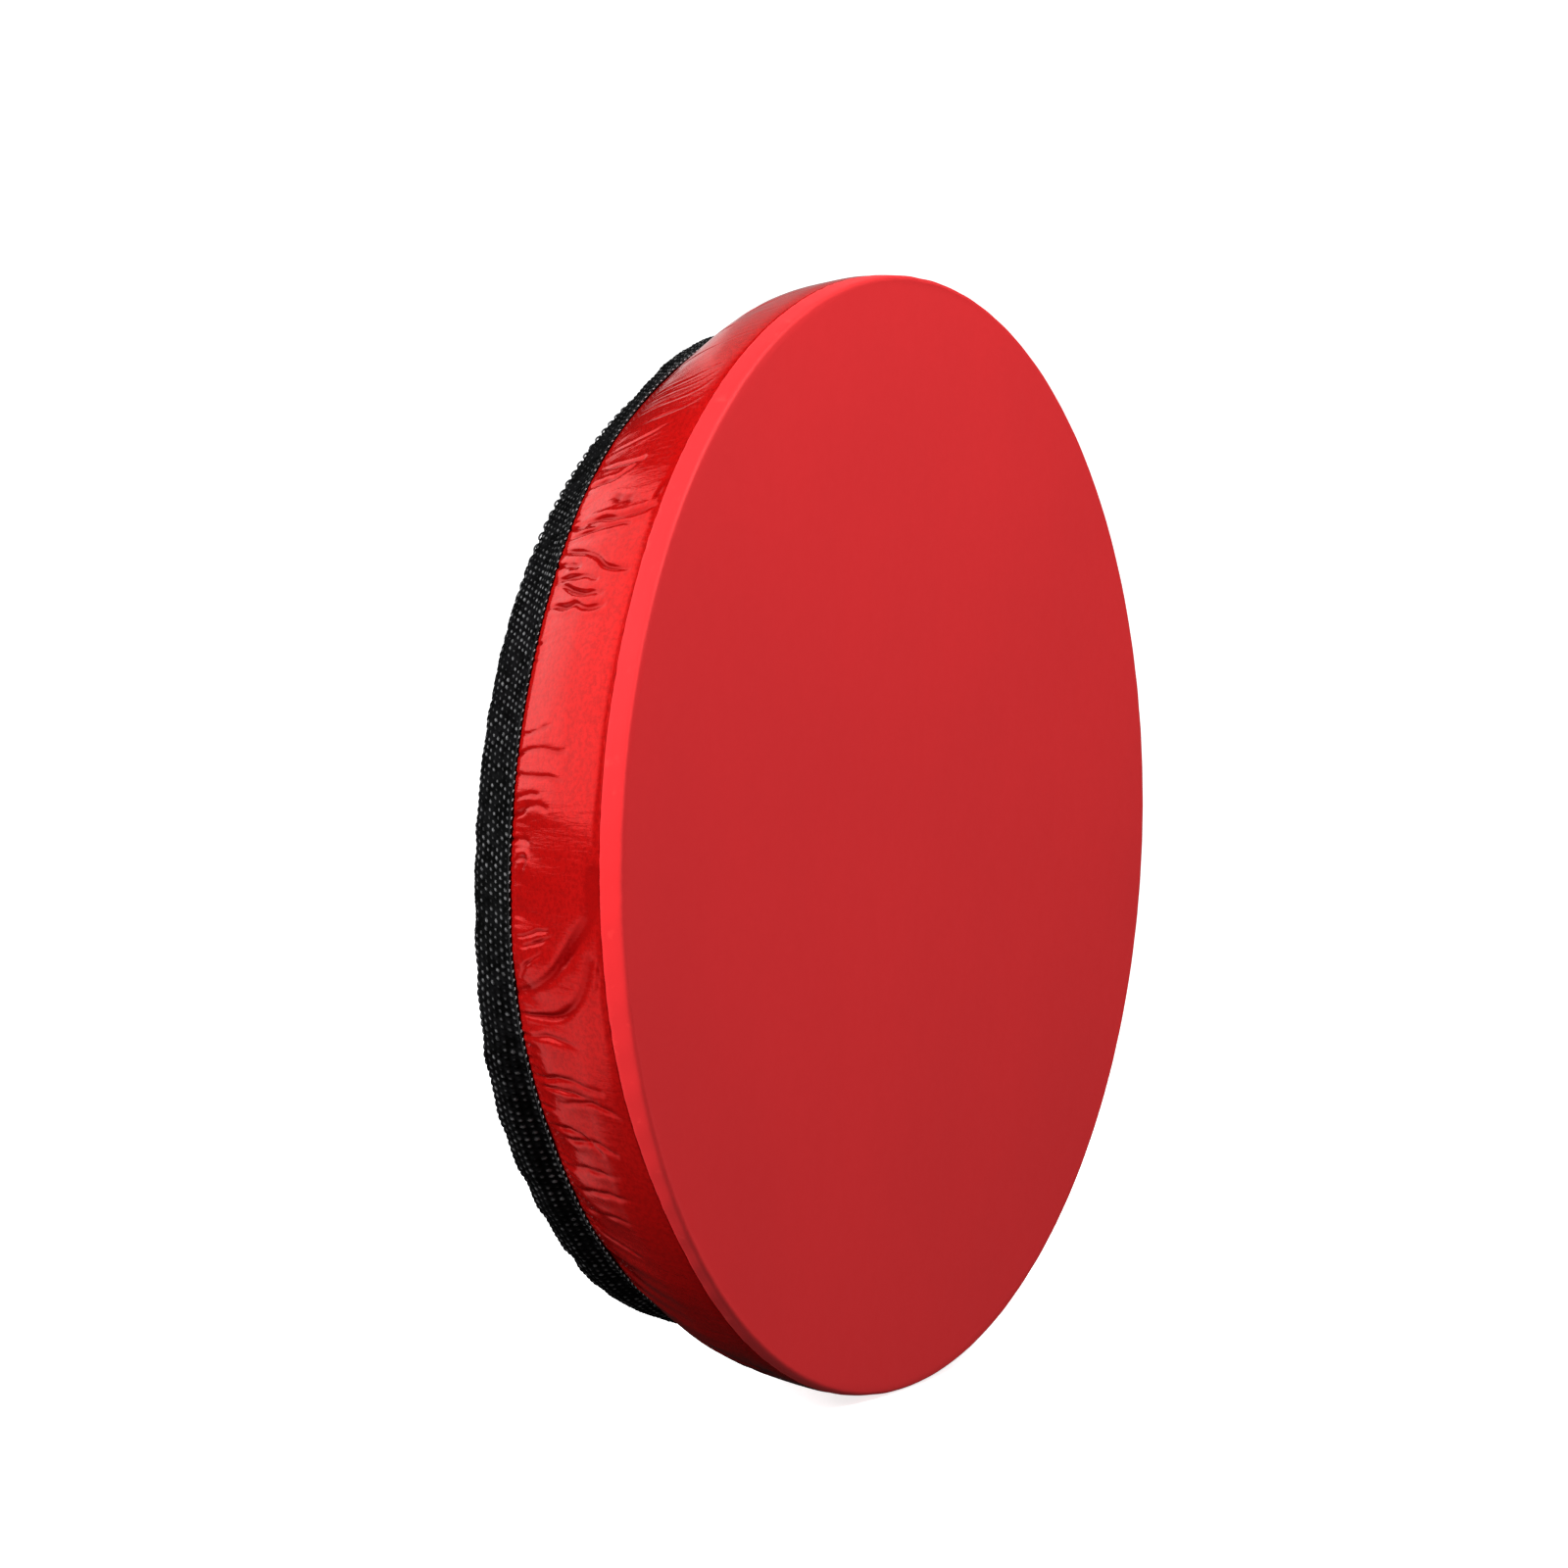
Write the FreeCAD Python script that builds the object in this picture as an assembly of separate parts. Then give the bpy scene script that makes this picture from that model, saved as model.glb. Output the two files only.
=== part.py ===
import FreeCAD, Part
import math
import os

# Round padded paddle case, standing on its edge. Millimetres, +Z up.
# Origin: centre of the front face. The disc's axis is Y: the front face looks along -Y,
# the zipped back door along +Y. Radii are taken from the axis, depths along +Y.
# Rim angles run from the lowest point (-Z) towards +X: 90 is +X, 180 is the top.

V = FreeCAD.Vector
ORIGIN = V(0, 0, 0)
DEPTH_AXIS = V(0, 1, 0)
RIM_TURN = V(0, -1, 0)      # turning about this axis increases the rim angle

# ---------------------------------------------------------------- driving dimensions
FLAT_R = 140.6              # flat part of the front face
RIM_ROLL = 1.9              # radius of the rolled front rim
RIM_R = FLAT_R + RIM_ROLL   # widest ring
SKIN = 0.8                  # cover skin thickness
GAP = 0.1                   # clearance between soft layers
LAYERS = ("padding", "stiffener", "lining")     # order from the skin inwards

WALL_FRONT = 6.3            # depth where the side wall begins
BAND_FRONT = 38.3           # depth where the woven band begins
# outer line of the side wall, (radius, depth), front to back
WALL_LINE = [
    (RIM_R, WALL_FRONT), (141.9, 9.0), (140.6, 14.0), (139.2, 18.0), (137.5, 22.0),
    (135.4, 26.0), (133.0, 30.0), (130.3, 34.2), (127.6, BAND_FRONT),
    (126.9, 40.5), (126.2, 43.0), (125.6, 45.4),
]

BACK_PLANE = 51.6           # depth of the band's rear lip
BAND_T = 1.6                # woven band thickness
LIP_R = 120.5               # inner edge of the band's rear lip

ZIP_R = 114.3               # centre line of the zip
HALF_CHANNEL = 0.6          # half of the channel between the two coil rows
ZIP_OUT_R = ZIP_R + HALF_CHANNEL
ZIP_IN_R = ZIP_R - HALF_CHANNEL
TAPE_FRONT, TAPE_BACK = 49.4, 50.0
COIL_FRONT, COIL_BACK = 50.05, 51.5
COIL_W = 2.3
ZIP_START = 14.0            # rim angle where the zip starts; it ends at its mirror angle
SLIDER_REST = 20.0          # rim angle where the closed slider parks

HINGE_Z = -94.0             # the door folds outward about this horizontal line
HINGE_GAP = 0.6             # from the fold line to the cloth on each side
DOOR_Z = HINGE_Z + HINGE_GAP
LOWER_Z = HINGE_Z - HINGE_GAP


# ---------------------------------------------------------------- helpers
def save(name, shape):
    solids = shape.Solids
    out = solids[0] if len(solids) == 1 else Part.makeCompound(solids)
    out.exportStep("parts/%s.step" % name)


def polygon_face(points):
    return Part.Face(Part.makePolygon(points + [points[0]]))


def profile(points):
    """Closed face from (radius, depth) points, drawn at rim angle 90."""
    return polygon_face([V(radius, depth, 0) for radius, depth in points])


def turn(shape, angle):
    """Carry a shape drawn at rim angle 90 to another rim angle."""
    turned = shape.copy()
    turned.rotate(ORIGIN, RIM_TURN, angle - 90)
    return turned


def ring(face):
    """Turn a profile right round the disc's axis."""
    return face.revolve(ORIGIN, DEPTH_AXIS, 360)


def ring_part(face, start, end):
    """Turn a profile from one rim angle to another."""
    return turn(face, start).revolve(ORIGIN, RIM_TURN, end - start)


def rect(r0, r1, y0, y1):
    return profile([(r0, y0), (r1, y0), (r1, y1), (r0, y1)])


def disc(radius, y0, y1):
    return Part.makeCylinder(radius, y1 - y0, V(0, y0, 0), DEPTH_AXIS)


def cord(radius, cord_r, depth):
    return Part.makeTorus(radius, cord_r, V(0, depth, 0), DEPTH_AXIS)


def box(x0, x1, y0, y1, z0, z1):
    return Part.makeBox(x1 - x0, y1 - y0, z1 - z0, V(x0, y0, z0))


def above(shape, z):
    return shape.common(box(-200, 200, -20, 90, z, 200))


def below(shape, z):
    return shape.common(box(-200, 200, -20, 90, -200, z))


def stack(skin, thicknesses, direction=1):
    """(name, (low, high)) of each of LAYERS, laid one after another from the skin."""
    spans = []
    edge = skin
    for thickness in thicknesses:
        near = edge + direction * GAP
        edge = near + direction * thickness
        spans.append(sorted((near, edge)))
    return list(zip(LAYERS, spans))


os.makedirs("parts", exist_ok=True)


# ---------------------------------------------------------------- front of the case
def front_cover():
    """Cover of the front face, rolled over the rim and turned under behind it."""
    def roll(radius, angle):
        return V(FLAT_R + radius * math.sin(angle), RIM_ROLL - radius * math.cos(angle), 0)

    def roll_arc(radius, angles):
        return Part.Arc(*[roll(radius, angle) for angle in angles]).toShape()

    angles = (0, math.pi / 4, math.pi / 2)
    inner_roll = RIM_ROLL - SKIN
    end = WALL_FRONT - GAP
    outer_end = V(RIM_R, end, 0)
    inner_end = V(RIM_R - SKIN, end, 0)
    inner_centre = V(0, SKIN, 0)
    edges = [
        Part.makeLine(ORIGIN, roll(RIM_ROLL, angles[0])),
        roll_arc(RIM_ROLL, angles),
        Part.makeLine(roll(RIM_ROLL, angles[-1]), outer_end),
        Part.makeLine(outer_end, inner_end),
        Part.makeLine(inner_end, roll(inner_roll, angles[-1])),
        roll_arc(inner_roll, angles[::-1]),
        Part.makeLine(roll(inner_roll, angles[0]), inner_centre),
        Part.makeLine(inner_centre, ORIGIN),
    ]
    return ring(Part.Face(Part.Wire(edges)))


FRONT_LAYER_R = {"padding": 136.4, "stiffener": 136.4, "lining": 136.0}
FRONT_BINDING = [(132.6, 7.2), (136.2, 7.2), (136.2, 8.6), (135.4, 8.6), (135.4, 8.0),
                 (132.6, 8.0)]       # (radius, depth)

save("front_cover", front_cover())
for layer, (low, high) in stack(SKIN, (4.0, 1.5, 0.5)):
    save("front_" + layer, disc(FRONT_LAYER_R[layer], low, high))
save("front_rim_cord", cord(radius=138.95, cord_r=1.95, depth=3.65))
save("front_seam_binding", ring(profile(FRONT_BINDING)))


# ---------------------------------------------------------------- side wall
def offset(line, distance):
    """The line moved towards the disc's axis along its own normals, mitred at the points."""
    normals = []
    for (r0, y0), (r1, y1) in zip(line, line[1:]):
        length = math.hypot(r1 - r0, y1 - y0)
        normals.append(((y0 - y1) / length, (r1 - r0) / length))
    before = normals[:1] + normals
    after = normals + normals[-1:]
    moved = []
    for (radius, depth), n0, n1 in zip(line, before, after):
        mitre_r = n0[0] + n1[0]
        mitre_y = n0[1] + n1[1]
        scale = distance * 2 / (mitre_r ** 2 + mitre_y ** 2)
        moved.append((radius + mitre_r * scale, depth + mitre_y * scale))
    return moved


def radius_at(line, depth):
    """Radius of the line at a depth; past its ends the end segments are extended."""
    segments = list(zip(line, line[1:]))
    crossing = [s for s in segments if s[0][1] <= depth <= s[1][1]]
    end = segments[0] if depth < line[0][1] else segments[-1]
    (r0, y0), (r1, y1) = (crossing or [end])[0]
    return r0 + (r1 - r0) * (depth - y0) / (y1 - y0)


def clip(line, y0, y1):
    """The part of the line between two depths, dropping points almost at the cuts."""
    middle = [point for point in line if y0 + 0.05 < point[1] < y1 - 0.05]
    return [(radius_at(line, y0), y0)] + middle + [(radius_at(line, y1), y1)]


def wall_layer(t0, t1, y0, y1):
    """A ring lying between two offsets of the wall line."""
    outer = clip(offset(WALL_LINE, t0), y0, y1)
    inner = clip(offset(WALL_LINE, t1), y0, y1)
    return ring(profile(outer + inner[::-1]))


WALL_LAYER_FRONT = {"padding": 7.2, "stiffener": 7.4, "lining": 9.4}     # depths
WALL_COVER_BACK = 42.0
WALL_LAYER_BACK = 45.2

save("side_wall_cover", wall_layer(0.0, SKIN, WALL_FRONT, WALL_COVER_BACK))
for layer, (low, high) in stack(SKIN, (2.5, 1.0, 0.5)):
    save("side_wall_" + layer, wall_layer(low, high, WALL_LAYER_FRONT[layer], WALL_LAYER_BACK))

# ---------------------------------------------------------------- band round the back edge
LIP_FRONT = BACK_PLANE - BAND_T + 0.05
# (radius, depth), front to back
BAND_INNER = [
    (127.7, BAND_FRONT), (127.0, 40.5), (126.3, 43.0), (125.7, 45.6), (125.1, 47.4),
    (124.4, 48.9), (123.2, 49.8), (122.3, LIP_FRONT), (LIP_R, LIP_FRONT),
]
BAND_OUTER = [
    (129.3, BAND_FRONT), (128.6, 40.5), (127.9, 43.0), (127.3, 45.6), (126.6, 48.0),
    (125.2, 50.1), (123.1, 51.3), (121.4, BACK_PLANE), (LIP_R, BACK_PLANE),
]
BACK_BINDING = [(119.8, 45.4), (120.6, 45.4), (120.6, 48.5), (121.6, 48.5), (121.6, 49.3),
                (119.8, 49.3)]

save("woven_band", ring(profile(BAND_OUTER + BAND_INNER[::-1])))
save("back_rim_cord", cord(radius=122.2, cord_r=1.2, depth=47.2))
save("back_seam_binding", ring(profile(BACK_BINDING)))

# ---------------------------------------------------------------- zip, body side
BODY_TAPE_R = 122.1         # outer edge of the body's tape
STOP_ANGLE = 0.9            # stops sit this many degrees beyond the coil's ends


def zip_box(x0, x1, y0, y1, z0, z1):
    """Box at rim angle 90, with x measured from the zip's centre line."""
    return box(ZIP_R + x0, ZIP_R + x1, y0, y1, z0, z1)


save("zip_tape_body", ring(rect(ZIP_OUT_R, BODY_TAPE_R, TAPE_FRONT, TAPE_BACK)))
body_coil = rect(ZIP_OUT_R, ZIP_OUT_R + COIL_W, COIL_FRONT, COIL_BACK)
save("zip_coil_body", ring_part(body_coil, ZIP_START, 360 - ZIP_START))

stop = zip_box(-2.6, 2.6, 50.1, 51.9, -0.9, 0.9)
stop_angles = (ZIP_START - STOP_ANGLE, 360 - ZIP_START + STOP_ANGLE)
save("zip_end_stops", Part.makeCompound([turn(stop, angle) for angle in stop_angles]))

# ---------------------------------------------------------------- back panel, split at the hinge
PANEL_R = 108.1             # cover skin
CORE_R = 104.4              # padding, stiffener and lining
INNER_TAPE_R = 104.6        # inner edge of the tape and of the edge binding
BINDING_R = 108.6
CORE_INSET = 0.4            # core layers stop this much further from the hinge
PANEL_FRONT = TAPE_BACK + GAP
PANEL_BACK = PANEL_FRONT + 1.0
CORE_BACK = TAPE_FRONT - GAP
TONGUE_R = 120.2            # the lower cover runs out to here at the bottom of the case
TONGUE_HALF_W = 22

panel_cover = disc(PANEL_R, PANEL_FRONT, PANEL_BACK)
tongue = below(disc(TONGUE_R, PANEL_FRONT, PANEL_BACK), LOWER_Z).common(
    box(-TONGUE_HALF_W, TONGUE_HALF_W, 40, 60, -130, -90))
save("lower_panel_cover", below(panel_cover, LOWER_Z).fuse(tongue).removeSplitter())
save("door_cover", above(panel_cover, DOOR_Z))

for layer, (low, high) in stack(TAPE_FRONT, (3.0, 1.2, 0.5), direction=-1):
    core = disc(CORE_R, low, high)
    save("lower_panel_" + layer, below(core, LOWER_Z - CORE_INSET))
    save("door_" + layer, above(core, DOOR_Z + CORE_INSET))

edge_binding = ring(rect(INNER_TAPE_R, BINDING_R, 45.2, CORE_BACK))
save("door_edge_binding", above(edge_binding, DOOR_Z + CORE_INSET))

panel_tape = ring(rect(INNER_TAPE_R, ZIP_IN_R, TAPE_FRONT, TAPE_BACK))
save("zip_tape_ends", below(panel_tape, LOWER_Z))
save("zip_tape_door", above(panel_tape, DOOR_Z))

panel_coil = rect(ZIP_IN_R - COIL_W, ZIP_IN_R, COIL_FRONT, COIL_BACK)
coil_ends = [below(ring_part(panel_coil, start, end), LOWER_Z)
             for start, end in ((ZIP_START, 40), (320, 360 - ZIP_START))]
save("zip_coil_ends", Part.makeCompound(coil_ends))
save("zip_coil_door", above(ring(panel_coil), DOOR_Z))

# fabric hinge: one strip on each side of the fold line
STRIP_HALF_W = 52.0
STRIP_REACH = 7             # from the fold line to a strip's far edge
STRIP_FRONT = PANEL_BACK + GAP
STRIP_BACK = STRIP_FRONT + 0.6
for side, z0, z1 in (("door", DOOR_Z, HINGE_Z + STRIP_REACH),
                     ("body", HINGE_Z - STRIP_REACH, LOWER_Z)):
    strip = box(-STRIP_HALF_W, STRIP_HALF_W, STRIP_FRONT, STRIP_BACK, z0, z1)
    save("hinge_strip_" + side, strip.common(disc(PANEL_R - 0.4, 50, 53)))

# ---------------------------------------------------------------- slider, drawn at rim angle 90
# rear plate outline: (half width, z); the wide end faces the start of the zip
SLIDER_OUTLINE = [(3.6, 5.5), (4.4, 4.2), (4.4, 0.0), (5.0, -3.0), (5.0, -4.6), (3.8, -5.5)]
BRIDGE_BACK = 56.0
PIVOT_Y = 54.0              # depth of the pull's end bar, under the bridge
PULL_HALF_W = 3.0
PULL_HALF_T = 0.5
PULL_END = -19.0            # z of the pull's free end
GRIP_CLEARANCE = 0.02


def slider_plate(inset, y, thickness):
    right = [V(ZIP_R + half - inset, y, z) for half, z in SLIDER_OUTLINE]
    left = [V(ZIP_R - half + inset, y, z) for half, z in SLIDER_OUTLINE]
    return polygon_face(left[:1] + right + left[:0:-1]).extrude(V(0, thickness, 0))


def bridge():
    """Bridge on the rear plate that holds the pull, rounded along its two rear end edges."""
    block = zip_box(-1.2, 1.2, 52.6, BRIDGE_BACK, -4.0, 4.0)
    block = block.cut(zip_box(-2, 2, 53.0, 54.95, -2.8, 2.8))
    rear_edges = [e for e in block.Edges
                  if abs(e.BoundBox.YMin - BRIDGE_BACK) < 1e-3
                  and abs(e.BoundBox.YMax - BRIDGE_BACK) < 1e-3
                  and e.BoundBox.ZLength < 1e-3 and e.BoundBox.XLength > 1]
    return block.makeFillet(1.4, rear_edges)


def slider():
    rear = slider_plate(inset=0, y=51.8, thickness=1.2)
    front = slider_plate(inset=0.2, y=47.9, thickness=1.15)
    post = zip_box(-0.4, 0.4, 48.5, 52.2, -5.0, -1.6)
    flanges = [zip_box(x0, x1, 50.4, 52.2, -2.6, 4.2) for x0, x1 in ((3.4, 4.4), (-4.4, -3.4))]
    return rear.fuse([front, post, bridge()] + flanges).removeSplitter()


def pull():
    """Flat tab on an end bar, pointing back towards the zip's start."""
    bar = Part.makeCylinder(0.7, 2 * PULL_HALF_W, V(ZIP_R - PULL_HALF_W, PIVOT_Y, 0), V(1, 0, 0))
    arms = [zip_box(x0, x1, PIVOT_Y - 0.6, PIVOT_Y + 0.6, -5.6, 0.0)
            for x0, x1 in ((1.7, PULL_HALF_W), (-PULL_HALF_W, -1.7))]
    plate = zip_box(-PULL_HALF_W, PULL_HALF_W, PIVOT_Y - PULL_HALF_T, PIVOT_Y + PULL_HALF_T,
                    PULL_END, -5.2)
    hole = zip_box(-1.2, 1.2, PIVOT_Y - 1, PIVOT_Y + 1, -8.0, -6.6)
    return bar.fuse(arms + [plate]).cut(hole).removeSplitter()


def grip():
    """Rubber sleeve on the free end of the pull."""
    body = zip_box(-3.9, 3.9, PIVOT_Y - 0.95, PIVOT_Y + 0.95, -20.5, -9.5)
    long_edges = [e for e in body.Edges
                  if e.BoundBox.YLength < 1e-3 and e.BoundBox.ZLength > 5]
    body = body.makeFillet(0.7, long_edges)
    half_w = PULL_HALF_W + GRIP_CLEARANCE
    half_t = PULL_HALF_T + GRIP_CLEARANCE
    return body.cut(zip_box(-half_w, half_w, PIVOT_Y - half_t, PIVOT_Y + half_t,
                            PULL_END - GRIP_CLEARANCE, -9.0))


for name, shape in (("slider_body", slider()), ("pull_tab", pull()), ("pull_grip", grip())):
    save(name, turn(shape, SLIDER_REST))

# ---------------------------------------------------------------- elastic straps inside
STRAP_HALF_L = 96
STRAP_HALF_W = 12.5
STRAP_END_L = 12            # length of the foot at each end


def elastic(z):
    """Strap across the case that holds the paddles, with a foot at each end."""
    z0, z1 = z - STRAP_HALF_W, z + STRAP_HALF_W
    foot_x = STRAP_HALF_L - STRAP_END_L
    flat = box(-STRAP_HALF_L, STRAP_HALF_L, 8.4, 9.4, z0, z1)
    feet = [box(x0, x1, 7.2, 8.4, z0, z1)
            for x0, x1 in ((-STRAP_HALF_L, -foot_x), (foot_x, STRAP_HALF_L))]
    return flat.fuse(feet).removeSplitter()


save("elastic_strap_upper", elastic(40))
save("elastic_strap_lower", elastic(-40))

# ---------------------------------------------------------------- carry ring and wrist loop, at +X
TAB_FRONT, TAB_BACK = 38.5, 46.9        # depths of the tab and the webbing
TAB_W = TAB_BACK - TAB_FRONT
RING_X, RING_Z = 132.9, -3.0            # the carry ring's straight bar
RING_Y = (TAB_FRONT + TAB_BACK) / 2
WIRE_R = 1.0
CORNER_R = 2                # ring corners beside the bar
BOW_R = 7.5
BOW_DROP = 3                # from the bar down to the bow's centre
BOW_Z = RING_Z - BOW_DROP - BOW_R       # lowest point of the wire's centre line

# section of the tab's sewn ply, (radius, depth)
TAB_PLY = [(129.45, TAB_FRONT), (128.75, 40.5), (128.05, 43.0), (127.45, 45.6),
           (127.35, TAB_BACK), (131.6, TAB_BACK), (131.6, TAB_FRONT)]

WEB_T = 1.2
LOOP_INSET = 0.6            # from the loop's line to its inner face
LOOP_BOTTOM = -85           # points below this also move in z
# right half of the hand loop, (x, z) from the ring's lowest point
LOOP_LINE = [(0, -12), (5, -24), (10.5, -38), (14, -52), (15, -64), (14, -76),
             (10.5, -86), (5.5, -92), (0, -94)]


def y_cylinder(radius, y, length, z):
    return Part.makeCylinder(radius, length, V(RING_X, y, z), DEPTH_AXIS)


def ring_tab():
    ply = ring_part(profile(TAB_PLY), 90.6, 102)
    eye = y_cylinder(2.3, TAB_FRONT, TAB_W, RING_Z)
    neck = box(130.7, RING_X, TAB_FRONT, TAB_BACK, RING_Z, 3.0)
    hole = y_cylinder(WIRE_R + 0.08, 33, 20, RING_Z)
    return ply.fuse([eye, neck]).cut(hole).removeSplitter()


def carry_ring():
    """D-shaped wire ring: a straight bar in the tab's eye and a round bow below it."""
    def point(across, down):
        return V(RING_X, RING_Y + across, RING_Z - down)

    half_bar = BOW_R - CORNER_R
    diagonal = CORNER_R * math.sqrt(0.5)
    corner_x, corner_z = half_bar + diagonal, CORNER_R - diagonal
    wire = Part.Wire([
        Part.makeLine(point(0, 0), point(half_bar, 0)),
        Part.Arc(point(half_bar, 0), point(corner_x, corner_z),
                 point(BOW_R, CORNER_R)).toShape(),
        Part.makeLine(point(BOW_R, CORNER_R), point(BOW_R, BOW_DROP)),
        Part.Arc(point(BOW_R, BOW_DROP), point(0, BOW_DROP + BOW_R),
                 point(-BOW_R, BOW_DROP)).toShape(),
        Part.makeLine(point(-BOW_R, BOW_DROP), point(-BOW_R, CORNER_R)),
        Part.Arc(point(-BOW_R, CORNER_R), point(-corner_x, corner_z),
                 point(-half_bar, 0)).toShape(),
        Part.makeLine(point(-half_bar, 0), point(0, 0)),
    ])
    section = Part.Wire(Part.makeCircle(WIRE_R, point(0, 0), DEPTH_AXIS))
    return wire.makePipeShell([section], True, False, 1)


def wrist_loop():
    """Webbing: a small eye on the ring, a neck, then the hand loop."""
    def prism(points):
        corners = [V(RING_X + x, TAB_FRONT, BOW_Z + z) for x, z in points]
        return polygon_face(corners).extrude(V(0, TAB_W, 0))

    def moved(points, distance):
        return [(x + distance, z - (distance if z < LOOP_BOTTOM else 0)) for x, z in points]

    def mirrored(points):
        return [(-x, z) for x, z in points][::-1]

    eye = y_cylinder(2.9 + WEB_T, TAB_FRONT, TAB_W, BOW_Z).cut(
        y_cylinder(2.9, TAB_FRONT - 1, TAB_W + 2, BOW_Z))
    neck = box(RING_X - WEB_T, RING_X + WEB_T, TAB_FRONT, TAB_BACK, BOW_Z - 16, BOW_Z - 3.4)
    outer = moved(LOOP_LINE, WEB_T)
    inner = moved(LOOP_LINE[1:-1], -LOOP_INSET)
    hand_hole = prism([(0, -19)] + inner + [(0, -92.2)] + mirrored(inner))
    hand_loop = prism(outer + mirrored(outer)).cut(hand_hole)
    return eye.fuse([neck, hand_loop]).removeSplitter()


save("ring_tab", ring_tab())
save("carry_ring", carry_ring())
save("wrist_loop", wrist_loop())
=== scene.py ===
import math

import bmesh
import bpy
import numpy as np
from mathutils import Matrix, Vector


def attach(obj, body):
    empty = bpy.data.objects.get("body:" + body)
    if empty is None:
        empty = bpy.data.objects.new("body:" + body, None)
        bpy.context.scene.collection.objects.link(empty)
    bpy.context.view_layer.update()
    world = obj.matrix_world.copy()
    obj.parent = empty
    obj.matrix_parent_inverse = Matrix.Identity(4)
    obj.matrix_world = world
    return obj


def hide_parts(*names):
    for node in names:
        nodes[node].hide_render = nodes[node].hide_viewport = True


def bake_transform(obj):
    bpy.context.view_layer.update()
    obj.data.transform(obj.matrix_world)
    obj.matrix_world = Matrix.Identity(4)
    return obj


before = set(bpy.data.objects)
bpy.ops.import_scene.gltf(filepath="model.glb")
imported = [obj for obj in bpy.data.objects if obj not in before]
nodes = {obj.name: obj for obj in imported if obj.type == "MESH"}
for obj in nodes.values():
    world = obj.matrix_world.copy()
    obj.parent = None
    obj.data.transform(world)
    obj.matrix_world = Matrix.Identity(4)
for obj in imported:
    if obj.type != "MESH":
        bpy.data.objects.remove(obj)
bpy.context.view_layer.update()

# Millimetres in the shape code, metres in the meshes. The disc's axis is Y, +Z is up.
# Rim angle: 0 at the lowest point, 90 at +X, 180 at the top, 270 at -X.
TAU = 2 * math.pi


def smooth(t):
    q = np.clip(t, 0, 1)
    return q * q * (3 - 2 * q)


def gauss(d, w):
    return np.exp(-(d / w) ** 2)


# ------------------------------------------------------------------ mesh building
def volume(v, quads, tris):
    total = 0.0
    if len(quads):
        a, b, c, d = (v[quads[:, i]] for i in range(4))
        total += np.einsum("ij,ij->i", a, np.cross(b, c)).sum() + np.einsum("ij,ij->i", a, np.cross(c, d)).sum()
    if len(tris):
        a, b, c = (v[tris[:, i]] for i in range(3))
        total += np.einsum("ij,ij->i", a, np.cross(b, c)).sum()
    return total


def mesh(name, verts_mm, quads, tris=None, uv=None, attrs=None, weld=None):
    """A closed mesh in metres. uv is per corner, in millimetres. weld lists vertices to merge by distance."""
    v = np.asarray(verts_mm, float) * 0.001
    quads = np.asarray(quads, int).reshape(-1, 4)
    tris = np.asarray(tris if tris is not None else [], int).reshape(-1, 3)
    flip = volume(v, quads, tris) < 0
    if flip:
        quads, tris = quads[:, ::-1], tris[:, ::-1]
    loops = np.concatenate([quads.ravel(), tris.ravel()])
    starts = np.concatenate([np.arange(len(quads)) * 4, len(quads) * 4 + np.arange(len(tris)) * 3])
    me = bpy.data.meshes.new(name)
    me.vertices.add(len(v))
    me.loops.add(len(loops))
    me.polygons.add(len(starts))
    me.vertices.foreach_set("co", v.astype(np.float32).ravel())
    me.polygons.foreach_set("loop_start", starts.astype(np.int32))
    me.loops.foreach_set("vertex_index", loops.astype(np.int32))
    me.update(calc_edges=True)
    if uv is not None:
        uq = np.asarray(uv[0], float).reshape(-1, 4, 2)
        ut = np.asarray(uv[1] if uv[1] is not None else [], float).reshape(-1, 3, 2)
        if flip:
            uq, ut = uq[:, ::-1], ut[:, ::-1]
        layer = me.uv_layers.new(name="UVMap")
        layer.data.foreach_set("uv", np.concatenate([uq.reshape(-1, 2), ut.reshape(-1, 2)]).astype(np.float32).ravel())
    for key, values in (attrs or {}).items():
        me.attributes.new(key, "FLOAT", "POINT").data.foreach_set("value", np.asarray(values, np.float32).ravel())
    me.polygons.foreach_set("use_smooth", np.ones(len(starts), bool))
    if weld is not None:
        bm = bmesh.new()
        bm.from_mesh(me)
        bm.verts.ensure_lookup_table()
        bmesh.ops.remove_doubles(bm, verts=[bm.verts[i] for i in weld], dist=1e-6)
        bm.to_mesh(me)
        bm.free()
    me.validate()
    o = bpy.data.objects.new(name, me)
    bpy.context.scene.collection.objects.link(o)
    return o


def grid(nu, nv, close_u, close_v, u_mm=1.0, v_mm=1.0, base=0):
    """Quads and corner UVs of a grid of vertices numbered u * nv + v."""
    iu = np.arange(nu if close_u else nu - 1)
    iv = np.arange(nv if close_v else nv - 1)
    U, W = np.meshgrid(iu, iv, indexing="ij")
    U1, W1 = (U + 1) % nu, (W + 1) % nv
    q = np.stack([U * nv + W, U1 * nv + W, U1 * nv + W1, U * nv + W1], -1).reshape(-1, 4) + base
    ua, ub = U * u_mm, (U + 1) * u_mm
    va, vb = W * v_mm, (W + 1) * v_mm
    uv = np.stack([np.stack([ua, va], -1), np.stack([ub, va], -1), np.stack([ub, vb], -1), np.stack([ua, vb], -1)], -2)
    return q, uv.reshape(-1, 4, 2)


def ring_xyz(th, r, y):
    return np.stack([r * np.sin(th), y, -r * np.cos(th)], -1)


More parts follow.
